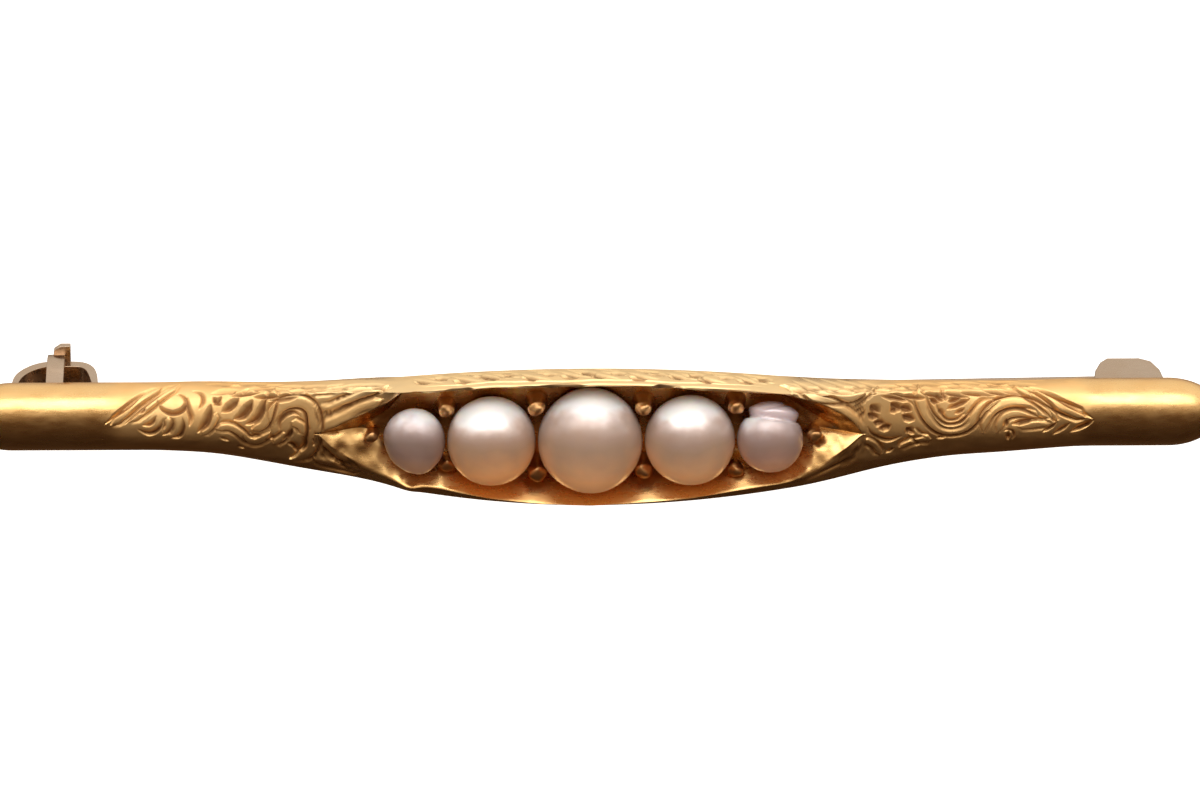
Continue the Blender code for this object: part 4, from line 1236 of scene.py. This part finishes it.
def make_stem():
    eye = np.array([HINGE_X, 0.0, STEM_HEIGHT])
    end = np.array([CATCH_X, STEM_OFFSET_IN_HOOK, STEM_HEIGHT])
    span = np.linalg.norm(end - eye)
    forward = (end - eye) / span
    side = np.array([-forward[1], forward[0], 0.0])
    up = np.array([0.0, 0.0, 1.0])
    length = span + STEM_OVERHANG
    from_point, point_radii = np.array(STEM_POINT).T
    lengths = np.concatenate([[0.36, 1.2], np.linspace(2, length - 2.4, 12), length - from_point])
    radii = np.concatenate([np.full(14, STEM_RADIUS), point_radii])
    count = STEM_POINTS_ROUND
    turns = np.linspace(0, 2 * math.pi, count, endpoint=False)
    ring = np.cos(turns)[:, None] * side + np.sin(turns)[:, None] * up
    rings = [eye + forward * a + ring * r for a, r in zip(lengths, radii)]
    points = np.concatenate(rings + [[eye + forward * lengths[0]], [eye + forward * length]])
    faces = bands(range(len(lengths)), count)
    first, last = len(points) - 2, len(points) - 1
    tail = (len(lengths) - 1) * count
    faces += [[first, (j + 1) % count, j] for j in range(count)]
    faces += [[last, tail + j, tail + (j + 1) % count] for j in range(count)]
    eye_points = []
    for radius, depth in EYE_EDGES:
        eye_points += [eye + (radius * math.cos(t), depth, radius * math.sin(t)) for t in turns]
    eye_faces = bands((0, 1, 2, 3, 0), count)
    stem = solid("stem_wire_and_eye", [(points, faces), (eye_points, eye_faces)], PALE_GOLD)
    stem.data.set_sharp_from_angle(angle=math.radians(50))
    dress(stem, "pin_stem")


make_catch()
make_hinge()
make_stem()


# Camera, floor and light
CAMERA_ROLL = math.radians(0.26)
CAMERA_DISTANCE = 250.0
# Where the middle of the picture lies: along the bar from its middle, and up from its axis in the picture.
PICTURE_MIDDLE = (0.286, 0.40)
LENS = 262.5


def make_camera():
    up = Vector(IMAGE_UP)
    back = Vector((0, math.sin(CAMERA_TILT), math.cos(CAMERA_TILT)))
    side = Vector((1, 0, 0))
    right = side * math.cos(CAMERA_ROLL) - up * math.sin(CAMERA_ROLL)
    top = up * math.cos(CAMERA_ROLL) + side * math.sin(CAMERA_ROLL)
    middle = Vector((PICTURE_MIDDLE[0], 0, AXIS_HEIGHT)) + up * PICTURE_MIDDLE[1]
    data = bpy.data.cameras.new("camera")
    data.lens = LENS
    data.sensor_width = 36.0
    data.clip_start = 0.01
    data.clip_end = 10.0
    camera = bpy.data.objects.new("camera", data)
    bpy.context.scene.collection.objects.link(camera)
    turn = Matrix((right, top, back)).transposed().to_4x4()
    camera.matrix_world = Matrix.Translation((middle + back * CAMERA_DISTANCE) * MM) @ turn
    bpy.context.scene.camera = camera


# Places and sizes of the lights, in metres.
# Columns: name, place, width and height, watts, colour, and whether polished metal mirrors it.
LIGHTS = (("key", (0.0, 0.455, 0.14), (0.8, 0.28), 1.7, (1.0, 0.98, 0.95), True),
          ("fill", (0.0, -0.36, 0.18), (0.6, 0.3), 1.2, (1.0, 0.78, 0.56), False),
          ("top", (0.0, 0.26, 0.385), (0.6, 0.3), 1.05, (1.0, 0.98, 0.96), False))
FLOOR = {"Base Color": (0.93, 0.93, 0.93, 1), "Roughness": 1.0, "Emission Color": (1, 1, 1, 1),
         "Emission Strength": 0.93}
# The surroundings are brightest towards this direction, which is upwards in the picture.
BRIGHT_SIDE = (0.0, 0.927, -0.375)
# Differences along the bar count for this share, as if the bright side were a long one.
SHARE_ALONG = 0.25
# Columns: how far a direction is turned towards the bright side, from 0 to 1, and the colour there.
SURROUNDINGS = ((0.0, (0.035, 0.02, 0.013)), (0.32, (0.085, 0.052, 0.032)), (0.44, (0.10, 0.062, 0.038)),
                (0.57, (0.25, 0.18, 0.125)), (0.73, (0.60, 0.52, 0.43)), (0.87, (0.88, 0.84, 0.77)),
                (1.0, (0.98, 0.95, 0.91)))


def area_light(name, place, size, energy, colour, mirrored):
    """A rectangular light that faces the pin."""
    data = bpy.data.lights.new(name, "AREA")
    data.shape = "RECTANGLE"
    data.size, data.size_y = size
    data.energy = energy
    data.color = colour
    light = bpy.data.objects.new(name, data)
    bpy.context.scene.collection.objects.link(light)
    light.location = place
    light.rotation_euler = (-Vector(place)).to_track_quat("-Z", "Y").to_euler()
    light.visible_glossy = mirrored


def make_floor():
    bpy.ops.mesh.primitive_plane_add(size=3.0, location=(0, 0, 0))
    floor = bpy.context.object
    floor.name = "floor"
    m = Nodes("floor")
    m.show(m.principled(FLOOR))
    floor.data.materials.append(m.item)
    floor.visible_glossy = False
    floor.visible_diffuse = False
    floor.visible_shadow = False


def make_world():
    world = bpy.data.worlds.new("world")
    bpy.context.scene.world = world
    w = Nodes("world", world)
    coordinates = w.add("ShaderNodeTexCoord")
    across = w.add("ShaderNodeVectorMath", operation="MULTIPLY")
    across.inputs[1].default_value = (SHARE_ALONG, 1.0, 1.0)
    w.link(coordinates.outputs["Generated"], across.inputs[0])
    level = w.add("ShaderNodeVectorMath", operation="NORMALIZE")
    w.link(across.outputs["Vector"], level.inputs[0])
    facing = w.add("ShaderNodeVectorMath", operation="DOT_PRODUCT")
    facing.inputs[1].default_value = BRIGHT_SIDE
    w.link(level.outputs["Vector"], facing.inputs[0])
    background = w.add("ShaderNodeBackground")
    w.link(w.ramp(w.spread(facing.outputs["Value"], -1.0, 1.0), SURROUNDINGS), background.inputs["Color"])
    w.show(background, "ShaderNodeOutputWorld")
    bpy.context.scene.view_settings.view_transform = "Standard"
    bpy.context.scene.view_settings.look = "None"


make_camera()
make_floor()
for light in LIGHTS:
    area_light(*light)
make_world()
